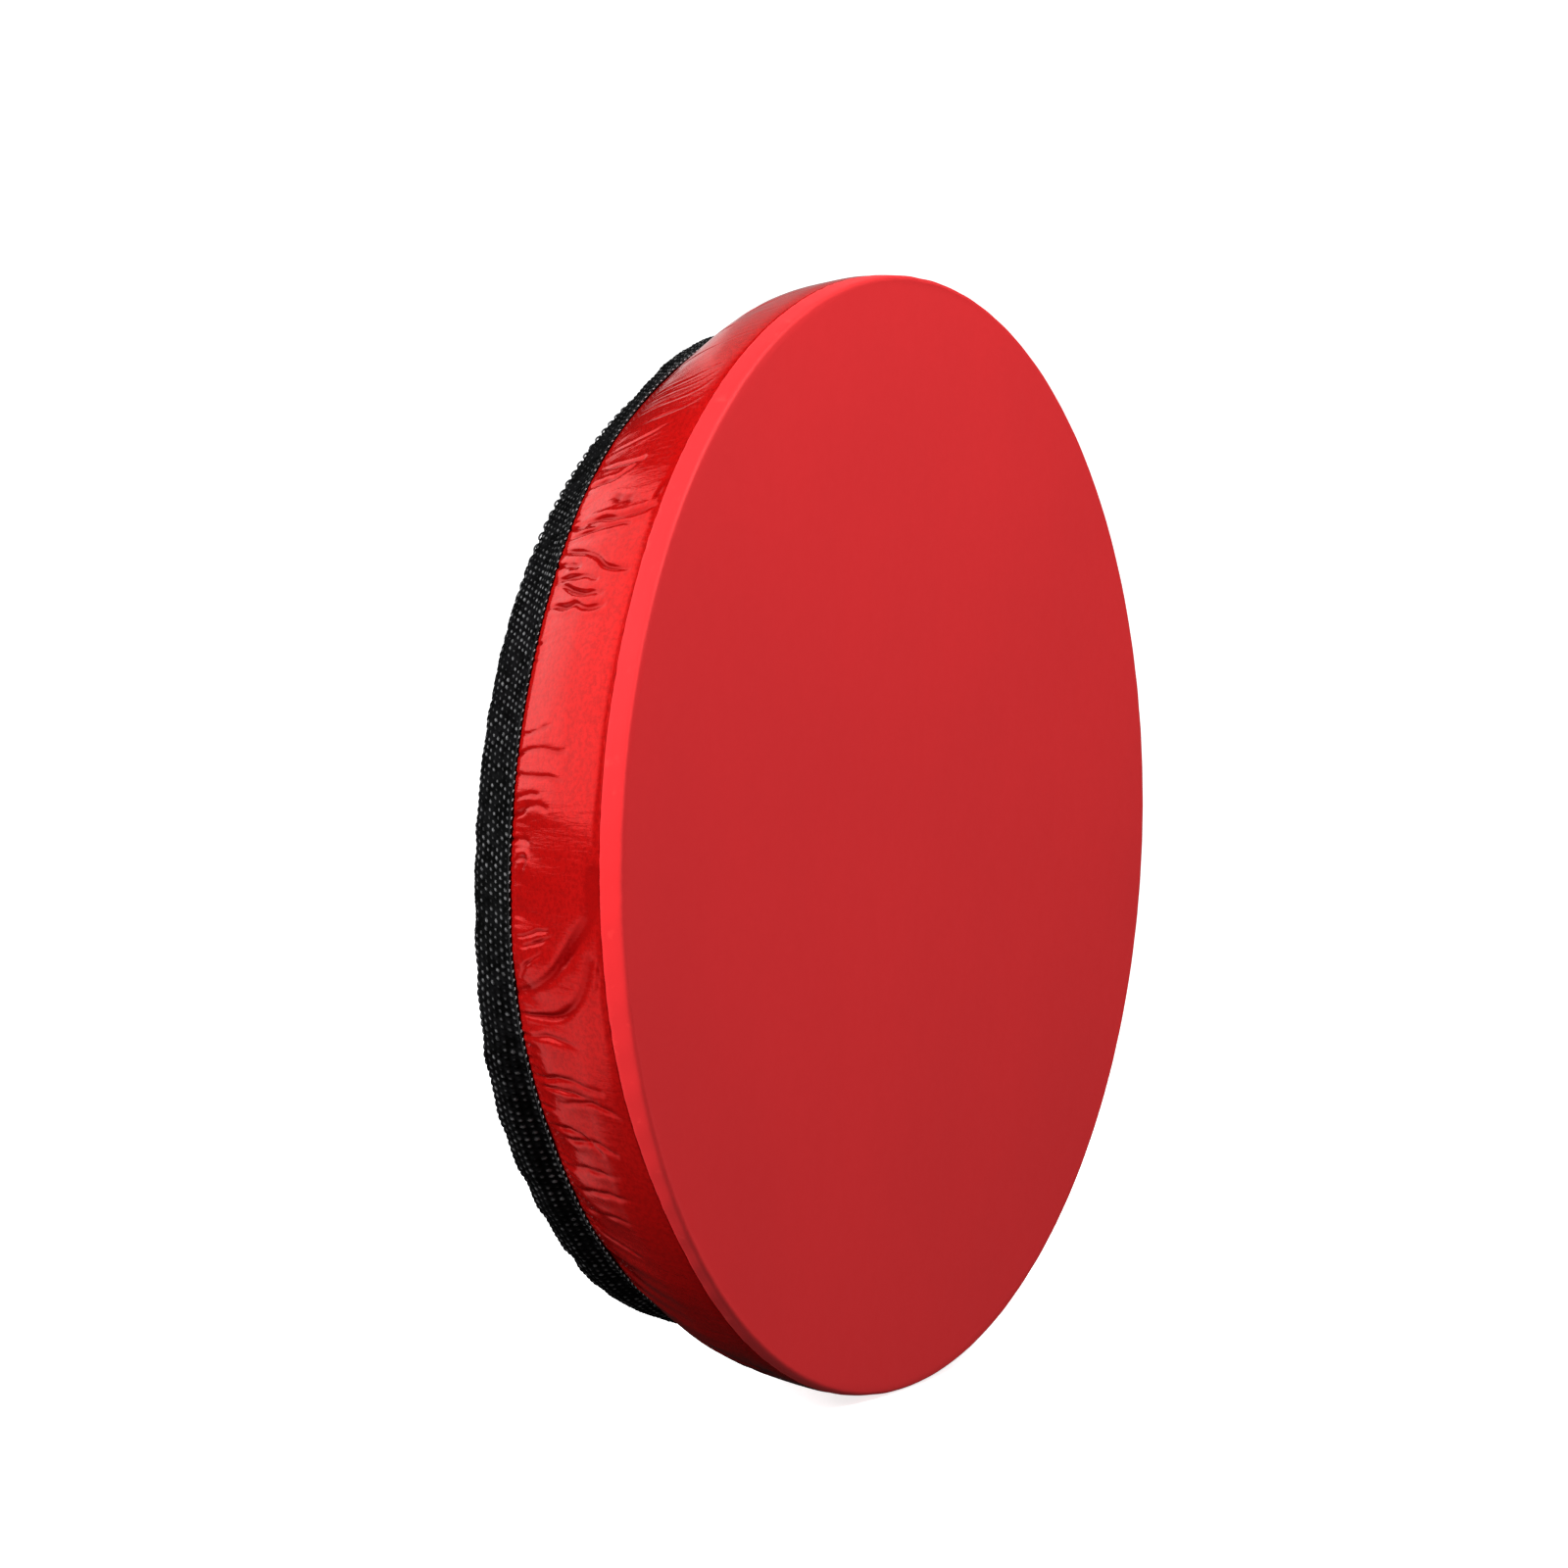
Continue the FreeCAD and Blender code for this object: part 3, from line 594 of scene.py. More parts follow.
def ribbon(name, path, side, width, thick, closed=False, across=17, weave=0.0, pitch=2.3, round_edge=0.3, bow=None):
    """A strap: path (n, 3), side (n, 3) unit vectors across it, woven on both faces."""
    path = np.asarray(path, float)
    n = len(path)
    if closed:
        tan = np.roll(path, -1, 0) - np.roll(path, 1, 0)
    else:
        tan = np.gradient(path, axis=0)
    tan /= np.linalg.norm(tan, axis=1, keepdims=True)
    side = np.asarray(side, float) + np.zeros((n, 3))
    side = side - tan * np.einsum("ij,ij->i", side, tan)[:, None]
    side /= np.linalg.norm(side, axis=1, keepdims=True)
    up = np.cross(tan, side)
    s = np.r_[0, np.cumsum(np.linalg.norm(np.diff(path, axis=0), axis=1))]
    w = np.linspace(-0.5, 0.5, across) * (width - 2 * round_edge)
    prof = [(x, 0.5) for x in w] + [(width / 2 - round_edge * 0.3, 0.33), (width / 2, 0.0), (width / 2 - round_edge * 0.3, -0.33)]
    prof += [(x, -0.5) for x in w[::-1]] + [(-width / 2 + round_edge * 0.3, -0.33), (-width / 2, 0.0), (-width / 2 + round_edge * 0.3, 0.33)]
    prof = np.array(prof)
    m = len(prof)
    X = prof[None, :, 0] + np.zeros((n, 1))
    H = prof[None, :, 1] * thick + np.zeros((n, 1))
    if weave:
        a = s[:, None] / pitch
        b = (prof[None, :, 0] + width / 2) / pitch
        bump = weave_height(a, b) * weave
        H = H + np.sign(prof[None, :, 1]) * np.where(np.abs(prof[None, :, 1]) > 0.45, bump - weave, 0)
    if bow is not None:
        H = H + bow(s[:, None], prof[None, :, 0])
    pts = path[:, None] + side[:, None] * X[..., None] + up[:, None] * H[..., None]
    pts = pts.reshape(-1, 3)
    q, _ = grid(n, m, closed, True)
    step = s[-1] / max(1, n - 1)
    _, uv = grid(n, m, closed, True, step, (2 * width) / m)
    high = None
    tri = None
    if not closed:
        base = len(pts)
        pts = np.vstack([pts, pts[:m].mean(0), pts[-m:].mean(0)])
        k = np.arange(m)
        t0 = np.stack([np.full(m, base), k, (k + 1) % m], -1)
        t1 = np.stack([np.full(m, base + 1), base - m + (k + 1) % m, base - m + k], -1)
        tri = np.vstack([t0, t1])
        mid = pts - pts.mean(0)
        if abs(volume(mid, q, tri[:, ::-1])) > abs(volume(mid, q, tri)):
            tri = tri[:, ::-1]
    uvt = None if tri is None else np.zeros((len(tri), 3, 2))
    return mesh(name, pts, q, tri, uv=(uv, uvt), attrs={"high": np.full(len(pts), 0.25)})


def weave_height(a, b):
    """Strand crowns in cell units, 0 to 1: rows of rounded strands, each row half a cell along from the last."""
    row = np.floor(b)
    a = a + 0.5 * (row % 2)
    fa, fb = a - np.floor(a) - 0.5, b - row - 0.5
    lean = fa + 0.22 * fb
    return np.clip(np.cos(math.pi * np.clip(lean, -0.5, 0.5)), 0, 1) ** 0.62 * np.clip(np.cos(math.pi * fb * 0.98), 0, 1) ** 0.5


def stitches(name, path, normal, length, gap, radius, closed=True, lift=0.3, material=None, body=None, slot_name=None, slant=0.0):
    """A row of sewn stitches along a path: each dips into the cloth at both ends."""
    path = np.asarray(path, float)
    normal = np.asarray(normal, float) + np.zeros(path.shape)
    if closed:
        path = np.vstack([path, path[:1]])
        normal = np.vstack([normal, normal[:1]])
    s = np.r_[0, np.cumsum(np.linalg.norm(np.diff(path, axis=0), axis=1))]
    count = max(1, int(round(s[-1] / (length + gap))))
    pitch = s[-1] / count
    L = length * pitch / (length + gap)
    start = (np.arange(count) + 0.5 * (1 - L / pitch)) * pitch
    f = np.array([0.0, 0.12, 0.3, 0.5, 0.7, 0.88, 1.0])
    drop = np.array([-1.1, -0.1, 0.75, 1.0, 0.75, -0.1, -1.1]) * radius + lift * radius
    rad = np.array([0.55, 0.95, 1, 1, 1, 0.95, 0.55]) * radius
    at = start[:, None] + f[None] * L
    c = np.stack([np.interp(at, s, path[:, k]) for k in range(3)], -1)
    nn = np.stack([np.interp(at, s, normal[:, k]) for k in range(3)], -1)
    nn /= np.linalg.norm(nn, axis=-1, keepdims=True)
    tan = np.gradient(c, axis=1)
    tan /= np.linalg.norm(tan, axis=-1, keepdims=True)
    side = np.cross(tan, nn)
    if slant:
        c = c + side * (f[None, :, None] - 0.5) * slant
    c = c + nn * drop[None, :, None]
    k = 6
    a = np.arange(k) * TAU / k
    ring = (side[:, :, None] * np.cos(a)[None, None, :, None] + nn[:, :, None] * np.sin(a)[None, None, :, None]) * rad[None, :, None, None]
    pts = (c[:, :, None] + ring)
    j = len(f)
    per = j * k
    quads, _ = grid(j, k, False, True)
    base = (np.arange(count) * (per + 2))[:, None, None]
    tip0 = c[:, :1] - tan[:, :1] * 0.3 * radius
    tip1 = c[:, -1:] + tan[:, -1:] * 0.3 * radius
    allp = np.concatenate([pts.reshape(count, per, 3), tip0, tip1], 1).reshape(-1, 3)
    q = (quads[None] + base).reshape(-1, 4)
    i = np.arange(k)
    t0 = np.stack([np.full(k, per), (i + 1) % k, i], -1)
    t1 = np.stack([np.full(k, per + 1), (j - 1) * k + i, (j - 1) * k + (i + 1) % k], -1)
    one = pts.reshape(count, per, 3)
    tri_t = np.vstack([t0, t1])
    sample = allp[: per + 2]
    if abs(volume(sample - sample.mean(0), quads, tri_t[:, ::-1])) > abs(volume(sample - sample.mean(0), quads, tri_t)):
        tri_t = tri_t[:, ::-1]
    t = (tri_t[None] + base).reshape(-1, 3)
    uv_one = np.stack([np.broadcast_to(f[:, None] * L, (j, k)), np.broadcast_to(a[None] * radius, (j, k))], -1).reshape(per, 2)
    uvq = np.tile(uv_one[quads][None], (count, 1, 1, 1)).reshape(-1, 4, 2)
    o = mesh(name, allp, q, t, uv=(uvq, np.zeros((len(t), 3, 2))))
    dress(o, material or THREAD, body, slot_name)
    return o


def ring_path(r, y, n=720, th0=0.0, th1=360.0, closed=True):
    th = np.radians(np.linspace(th0, th1, n, endpoint=not closed))
    rr, yy = np.full(n, float(r)), np.full(n, float(y))
    return th, rr, yy


# ------------------------------------------------------------------ front cover
TUCK = 0.62


def narrow(th):
    """1 along the lower left of the rim, where the cover's turned edge is narrower."""
    deg = np.mod(np.degrees(th), 360)
    return smooth((deg - 284) / 30) * (1 - smooth((deg - 340) / 20))


def front_cover():
    flat, roll = 140.6, 1.9
    pts = [(0.0, -0.35)]
    r = np.r_[np.linspace(0, 120, 31)[1:], np.linspace(120, 140.9, 17)[1:]]
    crown = -0.35 * (1 - (r / 140.9) ** 4)
    outer = [(0.0, -0.35)] + list(zip(r, crown))
    arc = [tuple(q) for q in curve([(140.9, 0.0), (141.4, 0.05), (141.82, 0.22), (142.12, 0.52), (142.3, 1.0), (142.4, 1.7), (142.46, 2.6), (142.5, 3.6)], 20)[1:]]
    # the turned edge swells slightly, then tucks in at the wall seam
    tail = [(142.52, 4.4), (142.52, 5.1), (142.46, 5.6), (142.3, 5.88), (141.9, 6.0), (141.2, 6.05), (141.2, 5.7)]
    inner = [(141.55, 4.6)] + [(flat + 1.0 * math.sin(a), roll - 1.0 * math.cos(a)) for a in np.linspace(math.pi / 2, 0, 8)]
    inner += [(x, 0.86) for x in np.linspace(flat - 3, 0, 14)]
    prof = np.array(outer + arc + tail + inner)
    prof[:, 1] = np.where(prof[:, 0] < 1e-6, prof[:, 1], prof[:, 1])

    def change(th, r, y):
        face = (y < 0.5) & (r < 141)
        live = smooth((r - 10) / 60)
        ripple = 0.05 * waves(th, r / 140, 3, 2, 7, 10, 2.5) * live * np.where(y < 0.86, 1, 0)
        rim = smooth((r - 136) / 5) * 0.08 * waves(th, y / 10, 5, 20, 90, 16, 0.6)
        seam = smooth((y - 4.8) / 1.4) * 0.05 * waves(th, y / 10, 6, 90, 240, 16, 0.2)
        flatter = 0.8 * gauss((np.degrees(th) + 180) % 360 - 180 - 34, 30) * smooth((r - 100) / 40)
        deeper = y > 1.7
        y = np.where(deeper, 1.7 + (y - 1.7) * (1 - TUCK * narrow(th)), y)
        return r - np.where(r > 1, rim * 0.5 + seam, 0) - flatter, y + np.where(face, ripple, 0) + rim * smooth((140 - r) / 4) * np.where(y < 2, 1, 0)

    o = ring_solid("front_face_cover", prof, 1080, change, weld_centre=True)
    return dress(o, RED, "case_body", "red_matte", "front_cover")


front_cover()

# ------------------------------------------------------------------ side wall cover
WALL = [(142.15, 5.8), (142.2, 7.0), (141.95, 9.0), (140.6, 14.0), (139.2, 18.0), (137.5, 22.0), (135.4, 26.0), (133.0, 30.0), (130.3, 34.2), (127.75, 38.3)]
WALL_L = 36.0

# creases of the gathered vinyl at the lower and upper left: (points as (rim angle, 0 at the rim to 1 at the band)), width, depth, taper
# taper 1 fades towards the last point, 2 fades at both ends
CREASES = [
    ([(226.8, 0.97), (227.3, 0.77), (227.6, 0.61), (227.2, 0.50), (226.2, 0.36)], 0.66, 0.63, 2),
    ([(224.1, 0.97), (225.3, 0.74), (225.9, 0.54), (226.3, 0.36)], 0.60, 0.40, 2),
    ([(230.3, 0.55), (231.3, 0.41), (231.8, 0.26)], 1.30, 0.30, 2),
    ([(232.2, 0.86), (233.0, 0.56), (233.7, 0.38), (233.9, 0.23), (233.7, 0.11), (233.3, 0.05)], 0.82, 0.86, 2),
    ([(233.1, 0.08), (231.6, 0.05), (229.9, 0.02)], 0.60, 0.46, 2),
    ([(232.0, 1.0), (233.4, 0.72), (234.2, 0.48)], 0.60, 0.63, 1),
    ([(233.7, 0.98), (234.2, 0.69), (234.6, 0.49), (234.9, 0.22)], 0.50, 0.52, 2),
    ([(235.2, 0.95), (236.5, 0.70), (237.4, 0.57), (238.3, 0.44), (239.4, 0.33), (240.0, 0.21), (240.2, 0.09)], 0.74, 0.92, 2),
    ([(237.0, 1.0), (237.6, 0.82), (238.5, 0.62)], 0.60, 0.63, 1),
    ([(238.6, 0.95), (239.6, 0.69), (240.0, 0.54), (240.6, 0.38)], 0.66, 0.75, 2),
    ([(238.8, 1.0), (240.6, 0.72), (241.6, 0.56), (242.4, 0.29)], 0.72, 0.86, 2),
    ([(242.0, 0.95), (243.0, 0.67), (242.9, 0.56), (243.8, 0.41), (243.9, 0.24)], 0.72, 0.80, 2),
    ([(246.0, 1.0), (246.3, 0.86)], 0.40, 0.30, 1),
    ([(247.9, 1.0), (248.2, 0.88)], 0.40, 0.20, 1),
    ([(212.2, 1.0), (214.0, 0.40), (212.4, 0.07)], 0.50, 0.13, 2),
    ([(216.2, 0.9), (217.5, 0.26), (215.0, 0.04)], 0.50, 0.16, 2),
    ([(219.5, 0.9), (219.9, 0.27), (217.6, 0.02)], 0.50, 0.16, 2),
    ([(221.8, 0.97), (222.6, 0.5), (221.9, 0.2)], 0.50, 0.14, 2),
    ([(214.0, 0.9), (215.6, 0.3), (213.6, 0.05)], 0.40, 0.10, 2),
    ([(205.6, 0.9), (207.4, 0.4), (206.6, 0.1)], 0.50, 0.12, 2),
    ([(200.0, 0.85), (201.8, 0.4), (200.6, 0.12)], 0.50, 0.14, 2),
    ([(198.0, 0.75), (196.5, 0.35), (194.0, 0.12)], 0.70, 0.25, 2),
    ([(256.2, 0.98), (256.0, 0.72), (255.4, 0.55)], 0.50, 0.20, 1),
    ([(258.2, 1.0), (258.0, 0.68), (258.5, 0.36)], 0.60, 0.30, 1),
    ([(260.4, 0.98), (260.8, 0.65), (261.3, 0.38)], 0.60, 0.34, 1),
    ([(262.8, 0.98), (262.5, 0.62)], 0.55, 0.30, 1),
    ([(264.8, 1.0), (263.7, 0.72), (264.2, 0.50)], 0.65, 0.42, 1),
    ([(267.2, 1.0), (267.3, 0.74)], 0.60, 0.38, 1),
    ([(269.6, 1.0), (269.2, 0.8), (271.2, 0.86)], 0.70, 0.42, 2),
    ([(270.2, 0.06), (274.0, 0.09), (276.5, 0.25), (278.7, 0.39), (280.7, 0.54), (282.2, 0.74), (283.4, 0.97)], 2.10, 0.75, 3),
    ([(278.4, 0.12), (280.7, 0.18), (282.3, 0.25), (283.5, 0.34), (284.6, 0.49), (285.2, 0.72), (285.7, 1.0)], 1.35, 0.65, 3),
    ([(278.0, 0.03), (279.3, 0.05), (280.9, 0.08)], 0.50, 0.35, 2),
    ([(277.4, 0.93), (276.7, 0.75), (276.0, 0.53)], 0.50, 0.45, 2),
    ([(278.3, 0.84), (277.4, 0.66), (276.7, 0.50)], 0.50, 0.40, 2),
    ([(281.4, 0.90), (279.6, 0.77), (278.6, 0.62)], 0.50, 0.40, 2),
    ([(287.9, 1.0), (287.3, 0.62), (287.6, 0.28)], 0.70, 0.50, 1),
    ([(290.6, 1.0), (290.2, 0.8)], 0.50, 0.25, 1),
    ([(292.7, 0.95), (291.6, 0.54), (291.7, 0.19)], 0.75, 0.50, 2),
    ([(293.8, 0.92), (292.9, 0.48), (293.0, 0.26)], 0.60, 0.45, 2),
    ([(294.8, 0.70), (293.6, 0.33), (294.3, 0.07)], 0.80, 0.50, 2),
    ([(296.4, 1.0), (295.9, 0.72)], 0.55, 0.30, 1),
    ([(298.5, 0.90), (298.1, 0.57), (299.4, 0.36)], 0.85, 0.50, 2),
    ([(299.5, 0.76), (298.5, 0.41), (299.1, 0.22)], 0.80, 0.50, 2),
    ([(304.0, 0.92), (302.5, 0.52), (301.8, 0.27)], 0.90, 0.45, 2),
    ([(307.6, 0.95), (305.2, 0.49), (304.5, 0.22)], 0.90, 0.45, 2),
    ([(310.2, 0.90), (308.6, 0.5), (308.2, 0.3)], 0.80, 0.25, 2),
    ([(313.2, 0.84), (313.8, 0.57), (313.9, 0.42)], 0.80, 0.30, 2),
    ([(317.0, 1.0), (316.4, 0.65)], 0.70, 0.20, 1),
]


def random_creases():
    g = np.random.default_rng(41)
    out = []
    deg = 320.0
    while deg < 320 + 248:
        wave = 0.5 + 0.5 * math.sin(math.radians(deg) * 5 + 1.3) * math.cos(math.radians(deg) * 2.3)
        deg += g.uniform(1.3, 3.4) + 3.0 * (1 - wave) * g.uniform(0.2, 1)
        a = deg % 360
        length = g.uniform(0.15, 0.45) + (0.35 if g.uniform() < 0.22 else 0)
        slant = g.uniform(-3.0, 3.0) * length
        mid = g.uniform(-0.6, 0.6)
        pts = [(a, 1.0), (a + slant * 0.5 + mid * length, 1 - length * 0.5), (a + slant, 1 - length)]
        out.append((pts, g.uniform(0.42, 0.85), g.uniform(0.2, 0.55), 1))
        if g.uniform() < 0.12:
            b = a + g.uniform(1, 3)
            h = g.uniform(0.1, 0.35)
            out.append(([(a, 0.9), (a + 1.6, 0.45), (b + 2.2, h), (b + 4.6, h + 0.1), (b + 5.4, 0.7)], g.uniform(1.1, 1.7), g.uniform(0.4, 0.75), 2))
    return out


def crease_field(th, s):
    """Displacement (mm) and painted valley shade from every crease, on a (columns, rows) grid of rim angle and 0..1."""
    n = len(th)
    height = np.zeros((n, len(s)))
    dark = np.zeros((n, len(s)))
    deg = np.degrees(th)
    R = 135.0
    for pts, w, depth, taper in CREASES + random_creases():
        wide = w >= 1.0
        p = np.array(pts, float)
        centre = p[:, 0].mean()
        rel = (deg - centre + 180) % 360 - 180
        span = (np.abs(p[:, 0] - centre).max()) + math.degrees(w * 5 / R)
        cols = np.where(np.abs(rel) < span)[0]
        if not len(cols):
            continue
        line = curve(np.stack([np.radians(p[:, 0] - centre) * R, p[:, 1] * WALL_L], -1), 24)
        g = np.random.default_rng(int(centre * 977) % 100003)
        u_ = np.linspace(0, 1, 24)
        w_ = 0.08 * w if wide else 0.4 * w
        line[:, 0] += w_ * (0.9 * np.sin(u_ * g.uniform(4, 9) + g.uniform(0, 6)) + 0.35 * np.sin(u_ * g.uniform(14, 24) + g.uniform(0, 6)))
        vary = 0.72 + 0.28 * np.sin(u_ * g.uniform(5, 12) + g.uniform(0, 6))
        X = (np.radians(rel[cols]) * R)[:, None]
        Y = (s * WALL_L)[None]
        best = np.full((len(cols), len(s)), 1e9)
        along = np.zeros_like(best)
        for i in range(len(line) - 1):
            a, b = line[i], line[i + 1]
            d = b - a
            t = np.clip(((X - a[0]) * d[0] + (Y - a[1]) * d[1]) / (d @ d), 0, 1)
            dist = np.hypot(X - a[0] - t * d[0], Y - a[1] - t * d[1])
            use = dist < best
            best = np.where(use, dist, best)
            along = np.where(use, (i + t) / (len(line) - 1), along)
        fade = (1 - along) ** 0.45 if taper == 1 else np.sin(math.pi * np.clip(along, 0.04, 0.96)) ** (0.6 if taper == 2 else 0.25)
        ww = w * (1 + 0.5 * along) if taper == 1 else (w * (1.15 - 0.7 * along) if taper == 3 else w)
        valley = gauss(best, ww if wide else 0.85 * ww)
        shade = smooth((1.25 * ww - best) / (0.5 * ww)) if wide else valley
        ridge = gauss(best - 2.1 * ww, 1.25 * ww)
        fade = fade * np.interp(along, u_, vary)
        side_ = 0.0 if wide else g.uniform(0.1, 0.4)
        height[cols] += fade * depth * (side_ * ridge - valley)
        dark[cols] = np.maximum(dark[cols], fade * shade * min(1, depth / 0.35) * (0.5 if 286 < centre < 330 else 1.0))
    return height, dark


def side_wall():
    n = 2700
    rows = 62
    line = curve(WALL, rows)
    s = np.linspace(0, 1, rows)
    th = np.arange(n) * TAU / n
    T, S = th[:, None], s[None]
    h, dark = crease_field(th, s)
    # broad, taut undulation that grows towards the gathered back edge
    big = 0.42 * waves(T, S, 11, 12, 44, 26, 0.8) * (0.12 + 0.88 * S ** 1.2)
    soft = 0.11 * waves(T, S, 12, 45, 130, 30, 1.4) * (0.05 + 0.95 * S ** 1.6)
    near = 0.05 * waves(T, S, 13, 150, 420, 36, 1.0) * smooth((S - 0.72) / 0.28)
    calm = 1 - 0.85 * gauss(np.degrees(T) - 249, 13) - 0.8 * gauss(np.degrees(T) - 207, 17)
    hold = smooth(S / 0.10) * 0.85 + 0.15
    pull = 1 - smooth((S - 0.86) / 0.14)
    d = (h + (big + soft) * calm * (0.35 + 0.65 * pull) + near * calm) * hold
    d = np.clip(d, -0.75, 1.7) * (1 - 0.6 * smooth((S - 0.975) / 0.025)) + 0.12
    turn = np.degrees(T)
    d = d + (1.5 * gauss(turn - 193, 12) + 1.0 * gauss(turn - 333, 12)) * np.sin(math.pi * S)
    nrm = normals2(line)
    if nrm[rows // 2][0] < 0:
        nrm = -nrm
    r = line[None, :, 0] + nrm[None, :, 0] * d - 0.8 * gauss((turn + 180) % 360 - 180 - 34, 30) * (1 - S)
    y = line[None, :, 1] + nrm[None, :, 1] * d
    y = y - TUCK * narrow(T) * 4.1 * (1 - smooth(S / 0.34))
    # under the band, and back along the inside
    tail = curve([(127.75, 38.3), (127.0, 40.0), (126.55, 41.6)], 7)[1:]
    inner = np.vstack([[(125.9, 41.8)], curve([(126.6, 38.3), (129.4, 34.0), (132.1, 29.8), (134.5, 25.8), (138.3, 17.9), (139.8, 13.9), (141.0, 9.0), (141.0, 6.6)], 18)])
    rest = np.vstack([tail, inner])
    r2 = rest[None, :, 0] + np.zeros((n, 1))
    y2 = rest[None, :, 1] + np.zeros((n, 1))
    rr, yy = np.hstack([r, r2]), np.hstack([y, y2])
    TT = T + np.zeros(rr.shape)
    rr, yy = band_shift(TT, rr, yy)
    m = rr.shape[1]
    pts = ring_xyz(TT, rr, yy).reshape(-1, 3)
    q, uv = grid(n, m, True, True, TAU * 135 / n, WALL_L / rows)
    # painted shade for the vinyl: darker crease valleys, and darker strips next to the band and the rim
    crease = np.zeros((n, m))
    crease[:, :rows] = dark
    seam = np.zeros((n, m))
    seam[:, :rows] = smooth((s - 0.97) / 0.03)[None] + 0.6 * smooth((0.02 - s) / 0.02)[None]
    o = mesh("side_wall_vinyl", pts, q, uv=(uv, None), attrs={"crease": crease, "seam": seam})
    return dress(o, VINYL, "case_body", "red_gloss", "side_wall_cover")


side_wall()

# ------------------------------------------------------------------ woven band round the back edge
OUTER = [(128.75, 38.3), (128.4, 40.4), (127.9, 43.0), (127.3, 45.6), (126.6, 48.0), (125.2, 50.1), (123.1, 51.3), (121.6, 51.6), (120.6, 51.55)]
BAND_CELLS = 430
BAND_PITCH = TAU * 127 / BAND_CELLS


def woven_band():
    per = 6
    n = BAND_CELLS * per
    line = curve(OUTER, 78)
    length = np.linalg.norm(np.diff(line, axis=0), axis=1).sum()
    cells = 11
    v = np.linspace(0, cells, 78)
    th = np.arange(n) * TAU / n
    a = th[:, None] / TAU * BAND_CELLS
    # the weave drifts a little, as hand-sewn webbing does
    drift = 0.16 * waves(th[:, None], v[None] / cells, 21, 3, 18, 12, 0.4)
    hgt = weave_height(a + drift, v[None] + 0.0 * a)
    g = np.random.default_rng(5)
    odd = 0.88 + 0.20 * g.random((BAND_CELLS, cells + 1))
    rows_ = np.clip(np.floor(v)[None].astype(int), 0, cells)
    hgt = hgt * odd[(np.floor(a + drift + 0.5 * (rows_ % 2)).astype(int) % BAND_CELLS), rows_]
    edge = np.clip(np.minimum(v, cells - v) / 0.35, 0, 1)[None]
    amp = 0.50 * (0.25 + 0.75 * edge)
    wav = 0.16 * waves(th[:, None], v[None] / cells, 22, 20, 110, 18, 0.5)
    nrm = normals2(line)
    if nrm[10][0] < 0:
        nrm = -nrm
    d = (hgt - 0.55) * amp + wav
    r = line[None, :, 0] + nrm[None, :, 0] * d
    y = line[None, :, 1] + nrm[None, :, 1] * d
    inner = curve([(120.6, 50.15), (122.3, 50.1), (123.4, 49.7), (124.5, 48.8), (125.15, 47.4), (125.8, 45.6), (126.4, 43.0), (127.1, 40.5), (127.95, 38.35)], 20)
    rr = np.hstack([r, inner[None, :, 0] + np.zeros((n, 1))])
    yy = np.hstack([y, inner[None, :, 1] + np.zeros((n, 1))])
    TT = th[:, None] + np.zeros(rr.shape)
    rr, yy = band_shift(TT, rr, yy)
    m = rr.shape[1]
    pts = ring_xyz(TT, rr, yy).reshape(-1, 3)
    q, uv = grid(n, m, True, True, BAND_PITCH / per, length / 78)
    high = np.zeros((n, m))
    # painted glints on the strand crowns, mostly taken off at the upper left, where the band stays unlit
    high[:, :78] = smooth((hgt - 0.84) / 0.16) * (1 - 0.85 * gauss(np.degrees(th) - 214, 16))[:, None]
    o = mesh("woven_band_webbing", pts, q, uv=(uv, None), attrs={"high": high})
    return dress(o, WEB, "case_body", "black_webbing", "woven_band")


woven_band()


def on_band(i_frac, lift=0.0, n=1440, th0=0.0, th1=360.0, closed=True):
    """A path on the band's outer face: 0 at its front edge, 1 at its lip."""
    line = curve(OUTER, 200)
    k = int(i_frac * 199)
    nrm = normals2(line)
    if nrm[40][0] < 0:
        nrm = -nrm
    th = np.radians(np.linspace(th0, th1, n, endpoint=not closed))
    r = np.full(n, line[k, 0] + nrm[k, 0] * lift)
    y = np.full(n, line[k, 1] + nrm[k, 1] * lift)
    r, y = band_shift(th, r, y)
    nn = np.stack([nrm[k, 0] * np.sin(th), np.full(n, nrm[k, 1]), -nrm[k, 0] * np.cos(th)], -1)
    return ring_xyz(th, r, y), nn


